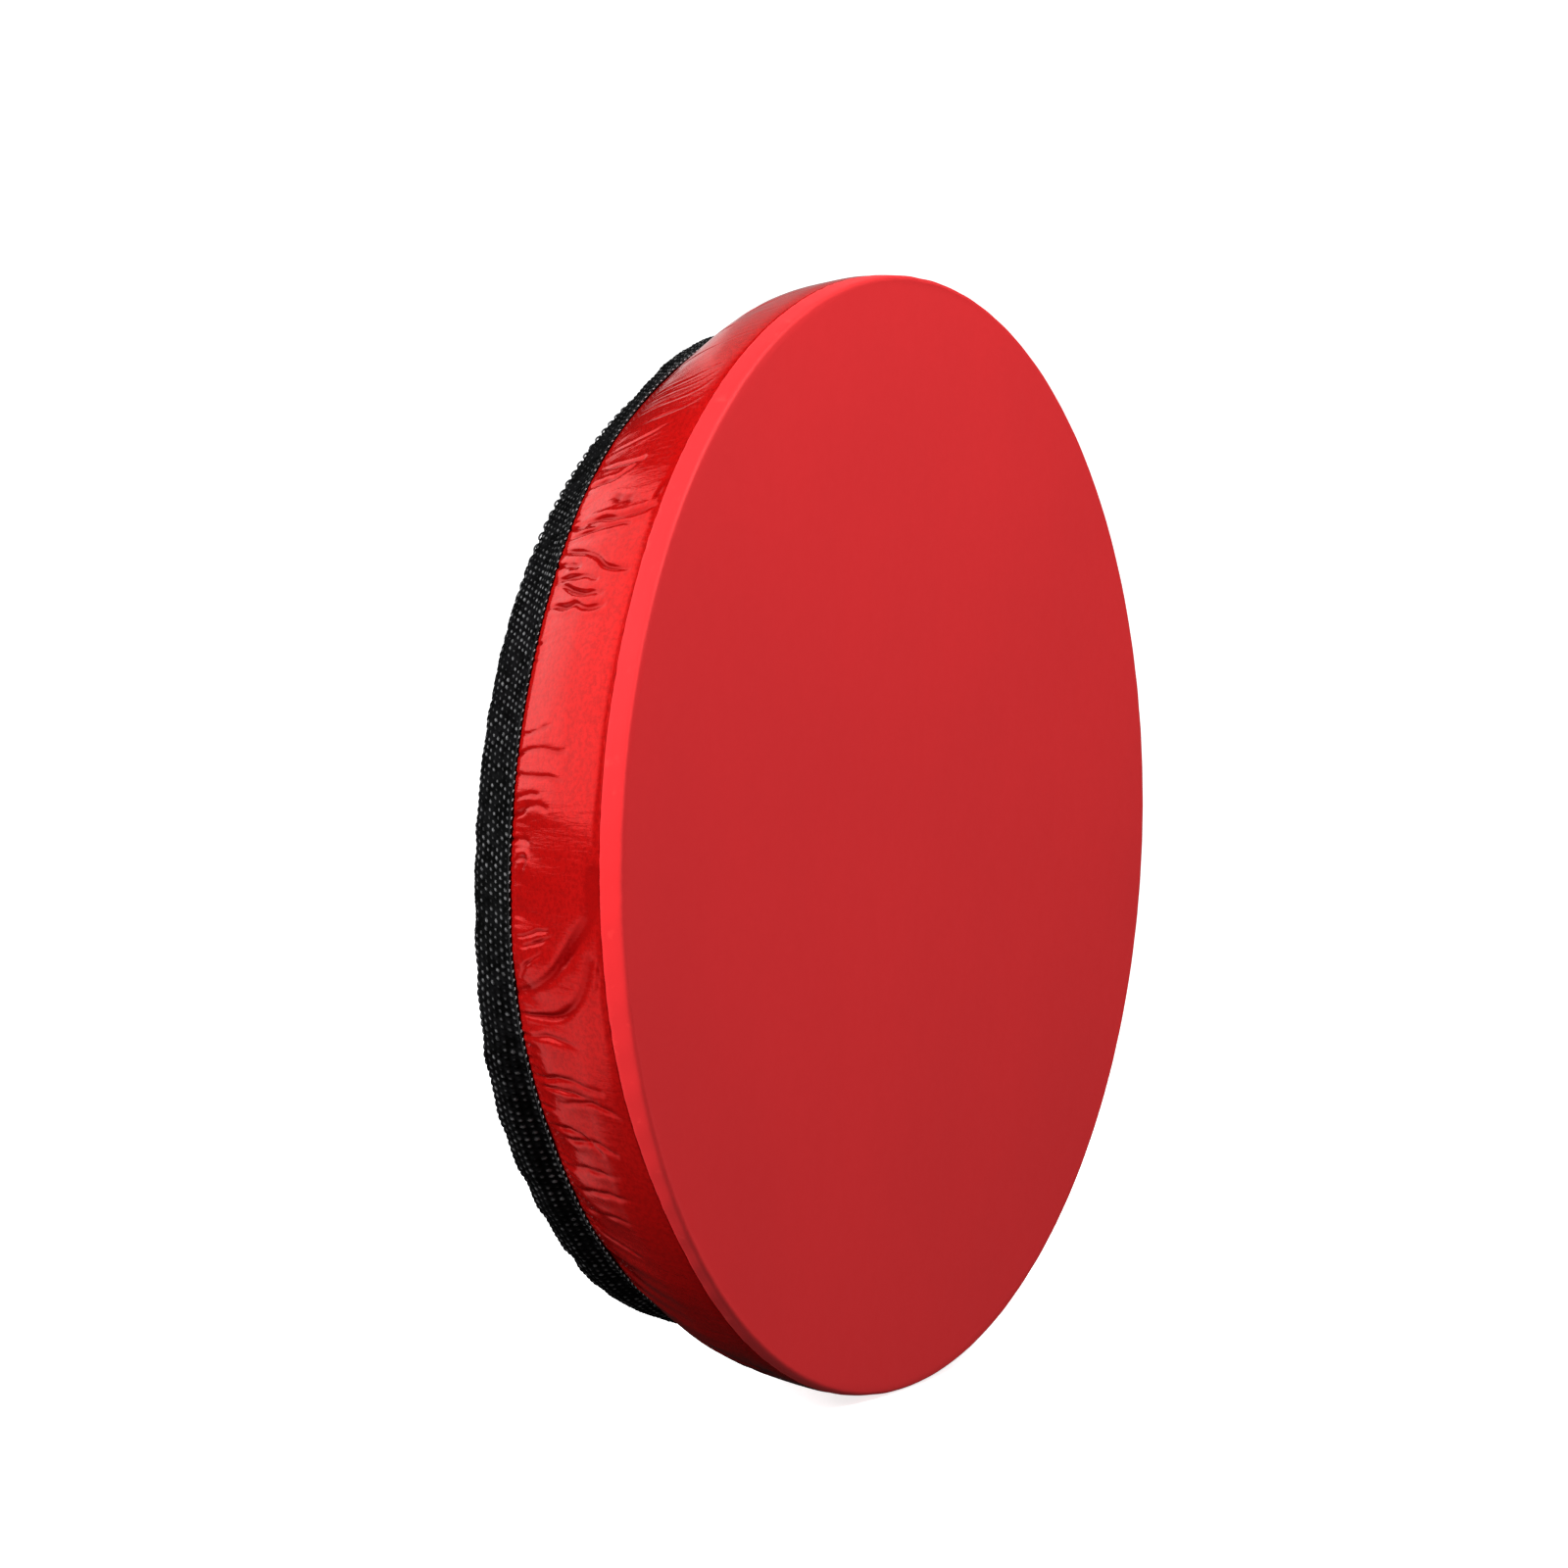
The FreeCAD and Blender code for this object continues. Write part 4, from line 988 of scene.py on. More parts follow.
def tube(name, path, radius, sides=8, closed=True, up=None, uv_len=True, twist=None):
    path = np.asarray(path, float)
    n = len(path)
    tan = (np.roll(path, -1, 0) - np.roll(path, 1, 0)) if closed else np.gradient(path, axis=0)
    tan /= np.linalg.norm(tan, axis=1, keepdims=True)
    up = np.asarray(up if up is not None else (0, 1, 0), float) + np.zeros((n, 3))
    a = up - tan * np.einsum("ij,ij->i", up, tan)[:, None]
    a /= np.linalg.norm(a, axis=1, keepdims=True)
    b = np.cross(tan, a)
    ang = np.arange(sides) * TAU / sides
    rad = radius if np.ndim(radius) else np.full(n, radius)
    R = rad[:, None] + np.zeros((n, sides))
    if twist:
        s = np.r_[0, np.cumsum(np.linalg.norm(np.diff(path, axis=0), axis=1))]
        R = R * (1 + twist[1] * np.cos(twist[2] * (ang[None] - TAU * s[:, None] / twist[0])))
    pts = path[:, None] + (a[:, None] * np.cos(ang)[None, :, None] + b[:, None] * np.sin(ang)[None, :, None]) * R[..., None]
    pts = pts.reshape(-1, 3)
    step = np.linalg.norm(np.diff(path, axis=0), axis=1).mean()
    q, uv = grid(n, sides, closed, True, step, TAU * float(np.mean(rad)) / sides)
    tri = None
    if not closed:
        base = len(pts)
        pts = np.vstack([pts, path[:1] - tan[:1] * rad[0] * 0.5, path[-1:] + tan[-1:] * rad[-1] * 0.5])
        k = np.arange(sides)
        t0 = np.stack([np.full(sides, base), k, (k + 1) % sides], -1)
        t1 = np.stack([np.full(sides, base + 1), base - sides + (k + 1) % sides, base - sides + k], -1)
        tri = np.vstack([t0, t1])
        if abs(volume(pts - pts.mean(0), q, tri[:, ::-1])) > abs(volume(pts - pts.mean(0), q, tri)):
            tri = tri[:, ::-1]
    return mesh(name, pts, q, tri, uv=(uv, None if tri is None else np.zeros((len(tri), 3, 2))))


# rolled selvedge along the band's front edge, with its pale edge thread
edge_path, edge_n = on_band(0.0, -0.12, 2160)
edge_path = edge_path + np.array([0, -0.05, 0])
selvedge = tube("band_selvedge", edge_path, 0.3, 8, twist=(1.6, 0.16, 2))
dress(selvedge, STRAP, "case_body", "black_webbing")
selvedge.data.attributes.new("high", "FLOAT", "POINT")
p1, n1 = on_band(0.0, -0.02, 2160)
p1 = p1 + np.array([0, -0.33, 0])
stitches("band_edge_thread", p1, n1 + np.array([0, -1.2, 0]), 0.8, 1.35, 0.15, material=PALE_THREAD, body="case_body", slot_name="black_webbing", slant=0.2)
for tag, f in (("lip", 0.95),):
    p1, n1 = on_band(f, 0.18, 1440)
    stitches("band_stitching_" + tag, p1, n1, 2.7, 0.9, 0.24, body="case_body", slot_name="black_webbing")

# ------------------------------------------------------------------ layers inside the wall
FULL = [(142.5, 6.3), (141.9, 9.0), (140.6, 14.0), (139.2, 18.0), (137.5, 22.0), (135.4, 26.0), (133.0, 30.0), (130.3, 34.2), (127.6, 38.3), (126.9, 40.5), (126.2, 43.0), (125.6, 45.4)]


def wall_layer(name, t0, t1, y0, y1, material, slot_name, stands_for, n=720, wobble=0.0, seed=1):
    line = curve(FULL, 120)
    nrm = normals2(line)
    if nrm[60][0] < 0:
        nrm = -nrm
    a, b = line - nrm * t0, line - nrm * t1
    a, b = a[(a[:, 1] >= y0) & (a[:, 1] <= y1)][::3], b[(b[:, 1] >= y0) & (b[:, 1] <= y1)][::3]
    prof = rounded(np.vstack([a, b[::-1]]), 0.12, 2)

    def change(th, r, y):
        if wobble:
            r = r - wobble * (1 + waves(th, y / 40, seed, 6, 40, 16, 1.0)) * 0.5
        return band_shift(th, r, y)

    o = ring_solid(name, prof, n, change, (TAU * 130 / n, 1.0))
    return dress(o, material, "case_body", slot_name, stands_for)


wall_layer("side_wall_foam", 1.25, 3.4, 7.2, 45.1, FOAM, "foam", "side_wall_padding")
wall_layer("side_wall_board", 3.5, 4.5, 7.4, 45.1, BOARD, "board", "side_wall_stiffener")
wall_layer("side_wall_lining_cloth", 4.6, 5.15, 9.5, 45.1, LINING, "lining", "side_wall_lining", n=1080, wobble=0.5, seed=8)

cord = tube("back_rim_piping_core", ring_xyz(*(lambda th, r, y: (th, *band_shift(th, r, y)))(*ring_path(122.2, 46.7))), 1.0, 10, twist=(3.0, 0.1, 3))
dress(cord, CORD, "case_body", "cord", "back_rim_cord")
cord = tube("front_rim_piping_core", ring_xyz(*ring_path(138.95, 3.65, 900)), 1.9, 12, twist=(4.0, 0.06, 3))
dress(cord, CORD, "case_body", "cord", "front_rim_cord")


def band_ring(name, prof, n, stands_for, material=BINDING, slot_name="binding", body="case_body", amp=0.08, seed=3, radius=0.25, least=0.0):
    prof = rounded(prof, radius, 3)

    def change(th, r, y):
        r2, y2 = band_shift(th, r + amp * waves(th, y / 10, seed, 30, 160, 16, 0.4), y)
        return np.maximum(r2, least + (r - prof[:, 0].min()) * 0.8), y2

    o = ring_solid(name, resample(prof, 0.5, True), n, change, (TAU * np.mean(prof[:, 0]) / n, 0.5))
    return dress(o, material, body, slot_name, stands_for)


band_ring("front_seam_tape", [(132.6, 7.2), (136.2, 7.2), (136.2, 8.6), (135.4, 8.6), (135.4, 8.0), (132.6, 8.0)], 1080, "front_seam_binding")
band_ring("back_seam_tape", [(119.8, 45.4), (120.6, 45.4), (120.6, 48.5), (121.6, 48.5), (121.6, 49.25), (119.8, 49.25)], 1080, "back_seam_binding", least=119.45)


def circle(r, n, z_cut=None, above=True):
    """Outline of a disc in the XZ plane, cut at a level if asked."""
    th = np.linspace(0, TAU, n, endpoint=False)
    if z_cut is None:
        return np.stack([r * np.sin(th), -r * np.cos(th)], -1)
    c = math.acos(-z_cut / r)
    if above:
        arc = np.linspace(c, TAU - c, int(n * 0.78))
    else:
        arc = np.linspace(-c, c, int(n * 0.3))
    a = np.stack([r * np.sin(arc), -r * np.cos(arc)], -1)
    chord = np.linspace(a[-1], a[0], int(n * 0.22) + 2)[1:-1]
    out = np.vstack([a, chord])
    # soft corners
    for _ in range(2):
        out = 0.25 * np.roll(out, 1, 0) + 0.5 * out + 0.25 * np.roll(out, -1, 0)
    return out


def wob(seed, amp, scale=0.045):
    g = np.random.default_rng(seed)
    k = g.normal(0, 1, (14, 2)) * scale
    ph = g.uniform(0, TAU, 14)

    def f(x, z, t):
        out = np.zeros(np.shape(x))
        for i in range(14):
            out = out + np.cos(k[i, 0] * x + k[i, 1] * z + ph[i])
        return amp * out / 5
    return f


w = wob(31, 0.06)
o = plate("front_lining_cloth", circle(135.9, 360), (0, 0), 6.62, 7.05, 40, lambda x, z, t: w(x, z, t) * smooth((1 - t) * 6))
dress(o, LINING, "case_body", "lining", "front_lining")

# ------------------------------------------------------------------ the back door's padded cover, blown up by cloth simulation
DOOR_CENTRE = (0.0, 5.0)


def padded_front(name, outline, centre, y0, rows, hold_at, pressure, cap, frames=20, step=2.7):
    """Simulates the cover as cloth over padding: held at its edge and along its sewn channels, with pressure behind it.
    The cloth is a square net with a little spare length, and the result is read back on to the rows of the plate."""
    o2, c = np.asarray(outline, float), np.asarray(centre, float)
    n = len(o2)
    t = np.linspace(0, 1, rows + 1)[1:] ** 0.85
    xz = c + (o2 - c)[:, None, :] * t[None, :, None]
    x0, x1 = o2[:, 0].min() - step, o2[:, 0].max() + step
    z0, z1 = o2[:, 1].min() - step, o2[:, 1].max() + step
    gx = np.arange(x0, x1 + step, step)
    gz = np.arange(z0, z1 + step, step)
    X, Z = np.meshgrid(gx, gz, indexing="ij")
    # distance of each knot from the outline, positive inside
    far = np.full(X.shape, 1e9)
    a_, b_ = o2, np.roll(o2, -1, 0)
    for i in range(n):
        d = b_[i] - a_[i]
        u = np.clip(((X - a_[i, 0]) * d[0] + (Z - a_[i, 1]) * d[1]) / (d @ d), 0, 1)
        far = np.minimum(far, np.hypot(X - a_[i, 0] - u * d[0], Z - a_[i, 1] - u * d[1]))
    r_out = np.hypot(o2[:, 0], o2[:, 1]).max()
    inside = (np.hypot(X, Z) < r_out) & (Z > o2[:, 1].min())
    far = np.where(inside, far, -far)
    hold = np.clip(np.maximum(hold_at(X, Z), 1 - smooth((far - 0.6) / 2.6)), 0, 1)
    g = np.random.default_rng(77)
    spare = np.zeros(X.shape)
    for _ in range(26):
        k = g.normal(0, 1, 2)
        k = k / np.linalg.norm(k) * TAU / g.uniform(9, 26)
        spare += np.cos(k[0] * X + k[1] * Z + g.uniform(0, TAU))
    start = np.stack([X, y0 + 0.3 * (1 - hold) + 0.16 * spare * (1 - hold), Z], -1).reshape(-1, 3)
    m_ = len(gz)
    i, k = np.meshgrid(np.arange(len(gx) - 1), np.arange(m_ - 1), indexing="ij")
    a = (i * m_ + k).ravel()
    me = bpy.data.meshes.new(name)
    me.from_pydata((start / 1000).tolist(), [], np.stack([a, a + 1, a + m_ + 1, a + m_], -1).tolist())
    ob = bpy.data.objects.new(name, me)
    bpy.context.scene.collection.objects.link(ob)
    if sum(p.normal.y for p in me.polygons[:50]) < 0:
        me.flip_normals()
    group = ob.vertex_groups.new(name="pin")
    flat_hold = hold.ravel()
    for i in np.where(flat_hold > 0.02)[0]:
        group.add([int(i)], float(flat_hold[i]), "REPLACE")
    mod = ob.modifiers.new("Cloth", "CLOTH")
    st = mod.settings
    st.quality = 7
    st.mass = 0.25
    st.tension_stiffness = st.compression_stiffness = 20
    st.shear_stiffness = 8
    st.bending_stiffness = 0.15
    st.air_damping = 2
    st.use_pressure = True
    st.uniform_pressure_force = pressure
    st.vertex_group_mass = "pin"
    st.effector_weights.gravity = 0
    mod.collision_settings.use_collision = False
    mod.point_cache.frame_start = 1
    mod.point_cache.frame_end = frames
    scene = bpy.context.scene
    scene.frame_start, scene.frame_end = 1, frames
    for f in range(1, frames + 1):
        scene.frame_set(f)
    ev = ob.evaluated_get(bpy.context.evaluated_depsgraph_get())
    co = np.zeros(len(ev.data.vertices) * 3, np.float32)
    ev.data.vertices.foreach_get("co", co)
    co = co.reshape(-1, 3).astype(float) * 1000
    move = co - start
    dist = np.linalg.norm(move, axis=1, keepdims=True)
    co = start + move * np.minimum(1, cap / np.maximum(dist, 1e-6))
    lift = (co[:, 1] - y0).reshape(X.shape)
    print("cloth", name, "rise mm", lift.min().round(2), lift.max().round(2))
    scene.frame_set(1)
    bpy.data.objects.remove(ob)
    lift = np.clip(lift, -0.1, cap)
    for _ in range(2):
        soft_ = 0.5 * lift + 0.125 * (np.roll(lift, 1, 0) + np.roll(lift, -1, 0) + np.roll(lift, 1, 1) + np.roll(lift, -1, 1))
        lift = soft_ * (1 - 0.6 * hold) + lift * 0.6 * hold

    def read(x, z):
        fx, fz = np.clip((x - gx[0]) / step, 0, len(gx) - 1.001), np.clip((z - gz[0]) / step, 0, len(gz) - 1.001)
        i, k = fx.astype(int), fz.astype(int)
        u, v = smooth(fx - i) * 0.5 + (fx - i) * 0.5, smooth(fz - k) * 0.5 + (fz - k) * 0.5
        return (lift[i, k] * (1 - u) * (1 - v) + lift[i + 1, k] * u * (1 - v) + lift[i, k + 1] * (1 - u) * v + lift[i + 1, k + 1] * u * v)

    rise = read(xz[..., 0], xz[..., 1]) * smooth((1 - t[None, :] + np.zeros((n, 1))) / 0.03)
    front_ = np.stack([xz[..., 0], y0 + rise, xz[..., 1]], -1)
    return front_, np.array([[c[0], y0 + float(read(np.array([c[0]]), np.array([c[1]]))[0]), c[1]]])


door_line = circle(107.6, 420, -93.5)


def door_hold(x, z):
    """Where the cover is sewn down: a channel round the door, closed by a line above the fold."""
    r = np.hypot(x, z)
    channel = gauss(r - 95.5, 1.5) * (z > -80)
    low = gauss(z + 81.0, 1.6) * (np.abs(x) < 52)
    return np.maximum(channel, low)


front = padded_front("door_cover_sim", door_line, DOOR_CENTRE, 50.95, 84, door_hold, 5.0, 3.9)
o = plate("door_padded_cover", door_line, DOOR_CENTRE, 50.12, 50.95, 84, edge=0.3, front=front)
dress(o, NYLON, "door", "black_cover", "door_cover")


def door_y(x, z):
    """Height of the simulated cover at a point."""
    f = front[0].reshape(-1, 3)
    d = (f[:, 0][None] - np.ravel(x)[:, None]) ** 2 + (f[:, 2][None] - np.ravel(z)[:, None]) ** 2
    return f[d.argmin(1), 1]


th = np.radians(np.linspace(34.5, 325.5, 700))
x, z = 95.5 * np.sin(th), -95.5 * np.cos(th)
keep = z > -79
ring = np.stack([x, np.zeros_like(x), z], -1)[keep]
# the channel's arc and its straight run along the fold make one closed line
arc_th = np.arccos(80.9 / 95.5)
arc = np.linspace(arc_th, TAU - arc_th, 600)
arc = np.stack([95.5 * np.sin(arc), -95.5 * np.cos(arc)], -1)
run = np.linspace(arc[-1], arc[0], 120)[1:-1]
line = np.vstack([arc, run])
for _ in range(3):
    line = 0.25 * np.roll(line, 1, 0) + 0.5 * line + 0.25 * np.roll(line, -1, 0)
path = np.stack([line[:, 0], door_y(line[:, 0], line[:, 1]) + 0.06, line[:, 1]], -1)
stitches("door_channel_stitching", path, (0, 1, 0), 2.7, 0.9, 0.24, body="door", slot_name="black_cover")
line = circle(105.6, 420, -91.6)
path = np.stack([line[:, 0], door_y(line[:, 0], line[:, 1]) + 0.04, line[:, 1]], -1)
stitches("door_edge_stitching", path, (0, 1, 0), 2.7, 0.9, 0.22, body="door", slot_name="black_cover")

o = plate("door_lining_cloth", circle(104.2, 360, -92.9), DOOR_CENTRE, 44.45, 44.9, 26, None)
dress(o, LINING, "door", "lining", "door_lining")
prof = rounded([(104.7, 45.2), (108.3, 45.6), (108.6, 47.2), (108.3, 49.0), (107.2, 49.3), (104.7, 49.3)], 0.5, 4)
o = sector_solid("door_edge_tape", resample(prof, 0.6, True), -92.9, 720, lambda th, r, y: (r + 0.06 * waves(th, y / 5, 14, 40, 160, 12, 0.3), y), uvs=(0.86, 0.6))
dress(o, BINDING, "door", "binding", "door_edge_binding")

# ------------------------------------------------------------------ fixed lower panel
a = np.radians(np.linspace(-28.55, 28.55, 61))
lower = []
for t in np.linspace(52.2, -52.2, 60):
    lower.append((t, -94.7))
c1 = math.acos(94.7 / 108.0)
s1 = math.asin(21.9 / 108.0)
for t in np.linspace(-c1, -s1, 24)[1:]:
    lower.append((108.0 * math.sin(t), -108.0 * math.cos(t)))
s2 = math.asin(21.9 / 120.0)
for z in np.linspace(-108.0 * math.cos(s1), -120.0 * math.cos(s2), 12)[1:]:
    lower.append((-21.9, z))
for t in np.linspace(-s2, s2, 34)[1:]:
    lower.append((120.0 * math.sin(t), -120.0 * math.cos(t)))
for z in np.linspace(-120.0 * math.cos(s2), -108.0 * math.cos(s1), 12)[1:]:
    lower.append((21.9, z))
for t in np.linspace(s1, c1, 24)[1:-1]:
    lower.append((108.0 * math.sin(t), -108.0 * math.cos(t)))
lower = np.array(lower)
w2 = wob(33, 0.12, 0.12)
o = plate("lower_panel_cloth", lower, (0, -101.5), 50.12, 51.0, 18, lambda x, z, t: (0.12 + w2(x, z, t)) * smooth((1 - t) * 4), edge=0.25)
dress(o, NYLON, "case_body", "black_cover", "lower_panel_cover")
inset = (lower - np.array([0, -101.5])) * np.array([0.955, 0.90]) + np.array([0, -101.5])
path = np.stack([inset[:, 0], np.full(len(inset), 51.06), inset[:, 1]], -1)
stitches("lower_panel_stitching", path, (0, 1, 0), 2.5, 0.8, 0.2, body="case_body", slot_name="black_cover")
o = plate("lower_panel_lining_cloth", circle(104.2, 200, -95.1, False), (0, -98.5), 44.45, 44.9, 5, None, edge=0.15)
dress(o, LINING, "case_body", "lining", "lower_panel_lining")


# ------------------------------------------------------------------ one fabric strip over the fold
def hinge_strip():
    zs = np.r_[np.linspace(-101, -95.4, 15), np.linspace(-95.2, -92.8, 17), np.linspace(-92.6, -87, 15)]
    half = np.minimum(51.8, np.sqrt(107.6 ** 2 - zs ** 2))
    u = np.linspace(-1, 1, 181)
    Z = zs[:, None] + np.zeros((1, 181))
    X = half[:, None] * u[None]
    rib = 0.05 * np.cos(X * TAU / 1.15)
    top = np.stack([X, 51.78 + rib, Z], -1)
    bot = np.stack([X, 51.22 + 0 * Z, Z], -1)[:, ::-1]
    allp = np.concatenate([top, bot], 1)
    nz, m = allp.shape[:2]
    q, uv = grid(nz, m, False, True, 0.5, 0.57)
    pts = allp.reshape(-1, 3)
    # close both ends with strips of quads
    k = np.arange(180)
    e0 = np.stack([k, m - 1 - k, m - 2 - k, k + 1], -1)
    e1 = e0[:, ::-1] + (nz - 1) * m
    cap = np.vstack([e0, e1])
    mid = pts - pts.mean(0)
    if abs(volume(mid, np.vstack([q, cap[:, ::-1]]), [])) > abs(volume(mid, np.vstack([q, cap]), [])):
        cap = cap[:, ::-1]
    uvc = pts[cap][..., [0, 2]]
    o = mesh("hinge_fabric_strip", pts, np.vstack([q, cap]), uv=(np.vstack([uv, uvc]), None), attrs={"high": np.full(len(pts), 0.2)})
    dress(o, STRAP, None, "black_webbing", "hinge_strip_door", "hinge_strip_body")
    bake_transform(o)
    return o


hinge_strip()
for tag, z0, body in (("upper", -89.0, "door"), ("upper_inner", -91.2, "door"), ("lower", -99.2, "case_body"), ("lower_inner", -96.8, "case_body")):
    half = min(50.3, math.sqrt(107.6 ** 2 - z0 ** 2) - 1.5)
    xs = np.linspace(-half, half, 160)
    path = np.stack([xs, np.full(160, 51.84), np.full(160, z0)], -1)
    stitches("hinge_stitching_" + tag, path, (0, 1, 0), 2.4, 0.8, 0.22, closed=False, body=body, slot_name="black_webbing")


# ------------------------------------------------------------------ zip
def tape_prof(r0, r1, y0, y1):
    return resample(rounded([(r0, y0), (r1, y0), (r1, y1), (r0, y1)], 0.2, 3), 0.45, True)


def tape_change(th, r, y):
    rib = 0.035 * np.cos(r * TAU / 0.9 + 40 * 0) * (y > 49.9)
    return r, y + rib


o = ring_solid("zip_tape_outer", tape_prof(114.95, 120.85, 49.42, 49.97), 1200, tape_change, (TAU * 118 / 1200, 0.45))
dress(o, TAPE, "case_body", "zip_tape", "zip_tape_body")
o = sector_solid("zip_tape_inner", tape_prof(105.05, 113.65, 49.42, 49.97), -93.45, 900, tape_change, uvs=(0.7, 0.45))
dress(o, TAPE, "door", "zip_tape", "zip_tape_door")
o = sector_solid("zip_tape_tails", tape_prof(104.7, 113.65, 49.42, 49.97), -94.65, 220, tape_change, keep_above=False, uvs=(0.6, 0.45))
dress(o, TAPE, "case_body", "zip_tape", "zip_tape_ends")
for tag, r, body, lo, hi in (("outer", 118.3, "case_body", 0, 360), ("inner", 110.1, "door", 34.2, 325.8)):
    closed = hi - lo == 360
    th, rr, yy = ring_path(r, 50.0, 1200, lo, hi, closed)
    stitches("zip_tape_stitching_" + tag, ring_xyz(th, rr, yy), (0, 1, 0), 2.4, 0.8, 0.2, closed=closed, body=body, slot_name="zip_tape")


def coil(name, r_mid, a_lo, a_hi, body, stands_for=None, sign=1):
    """Nylon coil: one continuous monofilament wound along the tape."""
    pitch_deg = math.degrees(1.5 / 114.3)
    turns = max(2, int(round((a_hi - a_lo) / pitch_deg)))
    steps = 12
    n = turns * steps + 1
    th = np.radians(np.linspace(a_lo + 0.15, a_hi - 0.15, n))
    psi = np.linspace(0, turns * TAU, n)
    # flattened loop: straight legs across the tape, a bent head towards the channel
    r = r_mid + sign * 0.80 * np.sign(np.cos(psi)) * np.abs(np.cos(psi)) ** 0.8
    y = 50.78 + 0.40 * np.sin(psi)
    path = ring_xyz(th, r, y)
    tan = np.gradient(path, axis=0)
    up = ring_xyz(th, np.cos(psi), np.sin(psi))
    return tube(name, path, 0.31, 6, closed=False, up=up)


def join(parts, name):
    bpy.ops.object.select_all(action="DESELECT")
    for p in parts:
        p.select_set(True)
    bpy.context.view_layer.objects.active = parts[0]
    bpy.ops.object.join()
    parts[0].name = parts[0].data.name = name
    return parts[0]


dress(coil("zip_coil_outer", 116.05, 14.0, 346.0, None, sign=-1), COIL, "case_body", "zip_coil", "zip_coil_body")
dress(coil("zip_coil_inner", 112.55, 34.2, 325.8, None), COIL, "door", "zip_coil", "zip_coil_door")
ends = join([coil("zip_coil_tail_a", 112.55, 14.0, 32.4, None), coil("zip_coil_tail_b", 112.55, 327.6, 346.0, None)], "zip_coil_tails")
dress(ends, COIL, "case_body", "zip_coil", "zip_coil_ends")

# ------------------------------------------------------------------ slider's grip
REST = math.radians(20 - 90)


def turned(o, degrees):
    o.data.transform(Matrix.Rotation(math.radians(degrees), 4, Vector((0, -1, 0))))
    return o


def pull_grip():
    """Moulded rubber sleeve with cross ribs, drawn at rim angle 90 and turned to its place."""
    L, n, k = 11.2, 90, 40
    z = np.linspace(-9.3, -9.3 - L, n)
    f = (z[0] - z) / L
    half_w = 3.75 + 0.25 * np.sin(math.pi * f) + 0.14 * np.cos(f * TAU * 5)
    half_t = 0.86 + 0.10 * smooth(f * 5) * smooth((1 - f) * 5) + 0.12 * (np.cos(f * TAU * 7) > 0.2) * smooth(f * 8) * smooth((1 - f) * 8)
    end = np.sqrt(np.clip(1 - np.clip((np.abs(f - 0.5) - 0.42) / 0.08, 0, 1) ** 2, 0.02, 1))
    a = np.arange(k) * TAU / k
    cx = np.sign(np.cos(a)) * np.abs(np.cos(a)) ** 0.45
    cy = np.sign(np.sin(a)) * np.abs(np.sin(a)) ** 0.6
    X = 114.3 + half_w[:, None] * end[:, None] * cx[None]
    Y = 54.0 + half_t[:, None] * end[:, None] ** 0.6 * cy[None]
    pts = np.stack([X, Y, z[:, None] + np.zeros((1, k))], -1).reshape(-1, 3)
    q, uv = grid(n, k, False, True, L / n, 0.4)
    base = len(pts)
    pts = np.vstack([pts, [[114.3, 54, z[0]], [114.3, 54, z[-1]]]])
    i = np.arange(k)
    tri = np.vstack([np.stack([np.full(k, base), i, (i + 1) % k], -1), np.stack([np.full(k, base + 1), base - k + (i + 1) % k, base - k + i], -1)])
    if abs(volume(pts - pts.mean(0), q, tri[:, ::-1])) > abs(volume(pts - pts.mean(0), q, tri)):
        tri = tri[:, ::-1]
    o = mesh("pull_grip_sleeve", pts, q, tri, uv=(uv, np.zeros((len(tri), 3, 2))))
    return turned(o, 20 - 90)


dress(pull_grip(), RUBBER, "pull", "grip_rubber", "pull_grip")


# ------------------------------------------------------------------ elastic straps inside
def elastic(name, z0, stands_for, seed):
    n, m = 520, 41
    x = np.linspace(-96, 96, n)
    g = np.abs(x)
    y_mid = 8.85 - 1.05 * smooth((g - 82) / 6) + 0.10 * np.cos(x / 17 + seed)
    w = np.linspace(-12.4, 12.4, m)
    # gathered lines run along the strap
    rib = 0.11 * np.cos(w * TAU / 1.55)
    cross = 0.05 * np.cos(x * TAU / 0.9)
    pucker = 0.10 * waves(x[:, None] / 30, w[None] / 25, seed, 3, 14, 12, 1.5)
    top = np.stack([x[:, None] + 0 * w[None], y_mid[:, None] + 0.42 + rib[None] + cross[:, None] * 0.6 + pucker, z0 + w[None] + 0 * x[:, None]], -1)
    bot = np.stack([x[:, None] + 0 * w[None], np.maximum(y_mid[:, None] - 0.42 + pucker, 7.22), z0 + w[None] + 0 * x[:, None]], -1)[:, ::-1]
    allp = np.concatenate([top, bot], 1)
    q, uv = grid(n, 2 * m, False, True, 192 / n, 0.62)
    pts = allp.reshape(-1, 3)
    k = np.arange(m - 1)
    e0 = np.stack([k, 2 * m - 1 - k, 2 * m - 2 - k, k + 1], -1)
    cap = np.vstack([e0, e0[:, ::-1] + (n - 1) * 2 * m])
    mid = pts - pts.mean(0)
    if abs(volume(mid, np.vstack([q, cap[:, ::-1]]), [])) > abs(volume(mid, np.vstack([q, cap]), [])):
        cap = cap[:, ::-1]
    o = mesh(name, pts, np.vstack([q, cap]), uv=(np.vstack([uv, pts[cap][..., [0, 2]]]), None))
    dress(o, ELASTIC, "case_body", "elastic", stands_for)
    for side in (-1, 1):
        for j, off in enumerate((86.5, 94.3)):
            zz = np.linspace(z0 - 11, z0 + 11, 40)
            p = np.stack([np.full(40, side * off), np.full(40, np.interp(off, x[n // 2:], y_mid[n // 2:]) + 0.52), zz], -1)
            stitches(f"{name}_tack_{'l' if side < 0 else 'r'}{j}", p, (0, 1, 0), 2.2, 0.6, 0.2, closed=False, body="case_body", slot_name="elastic")


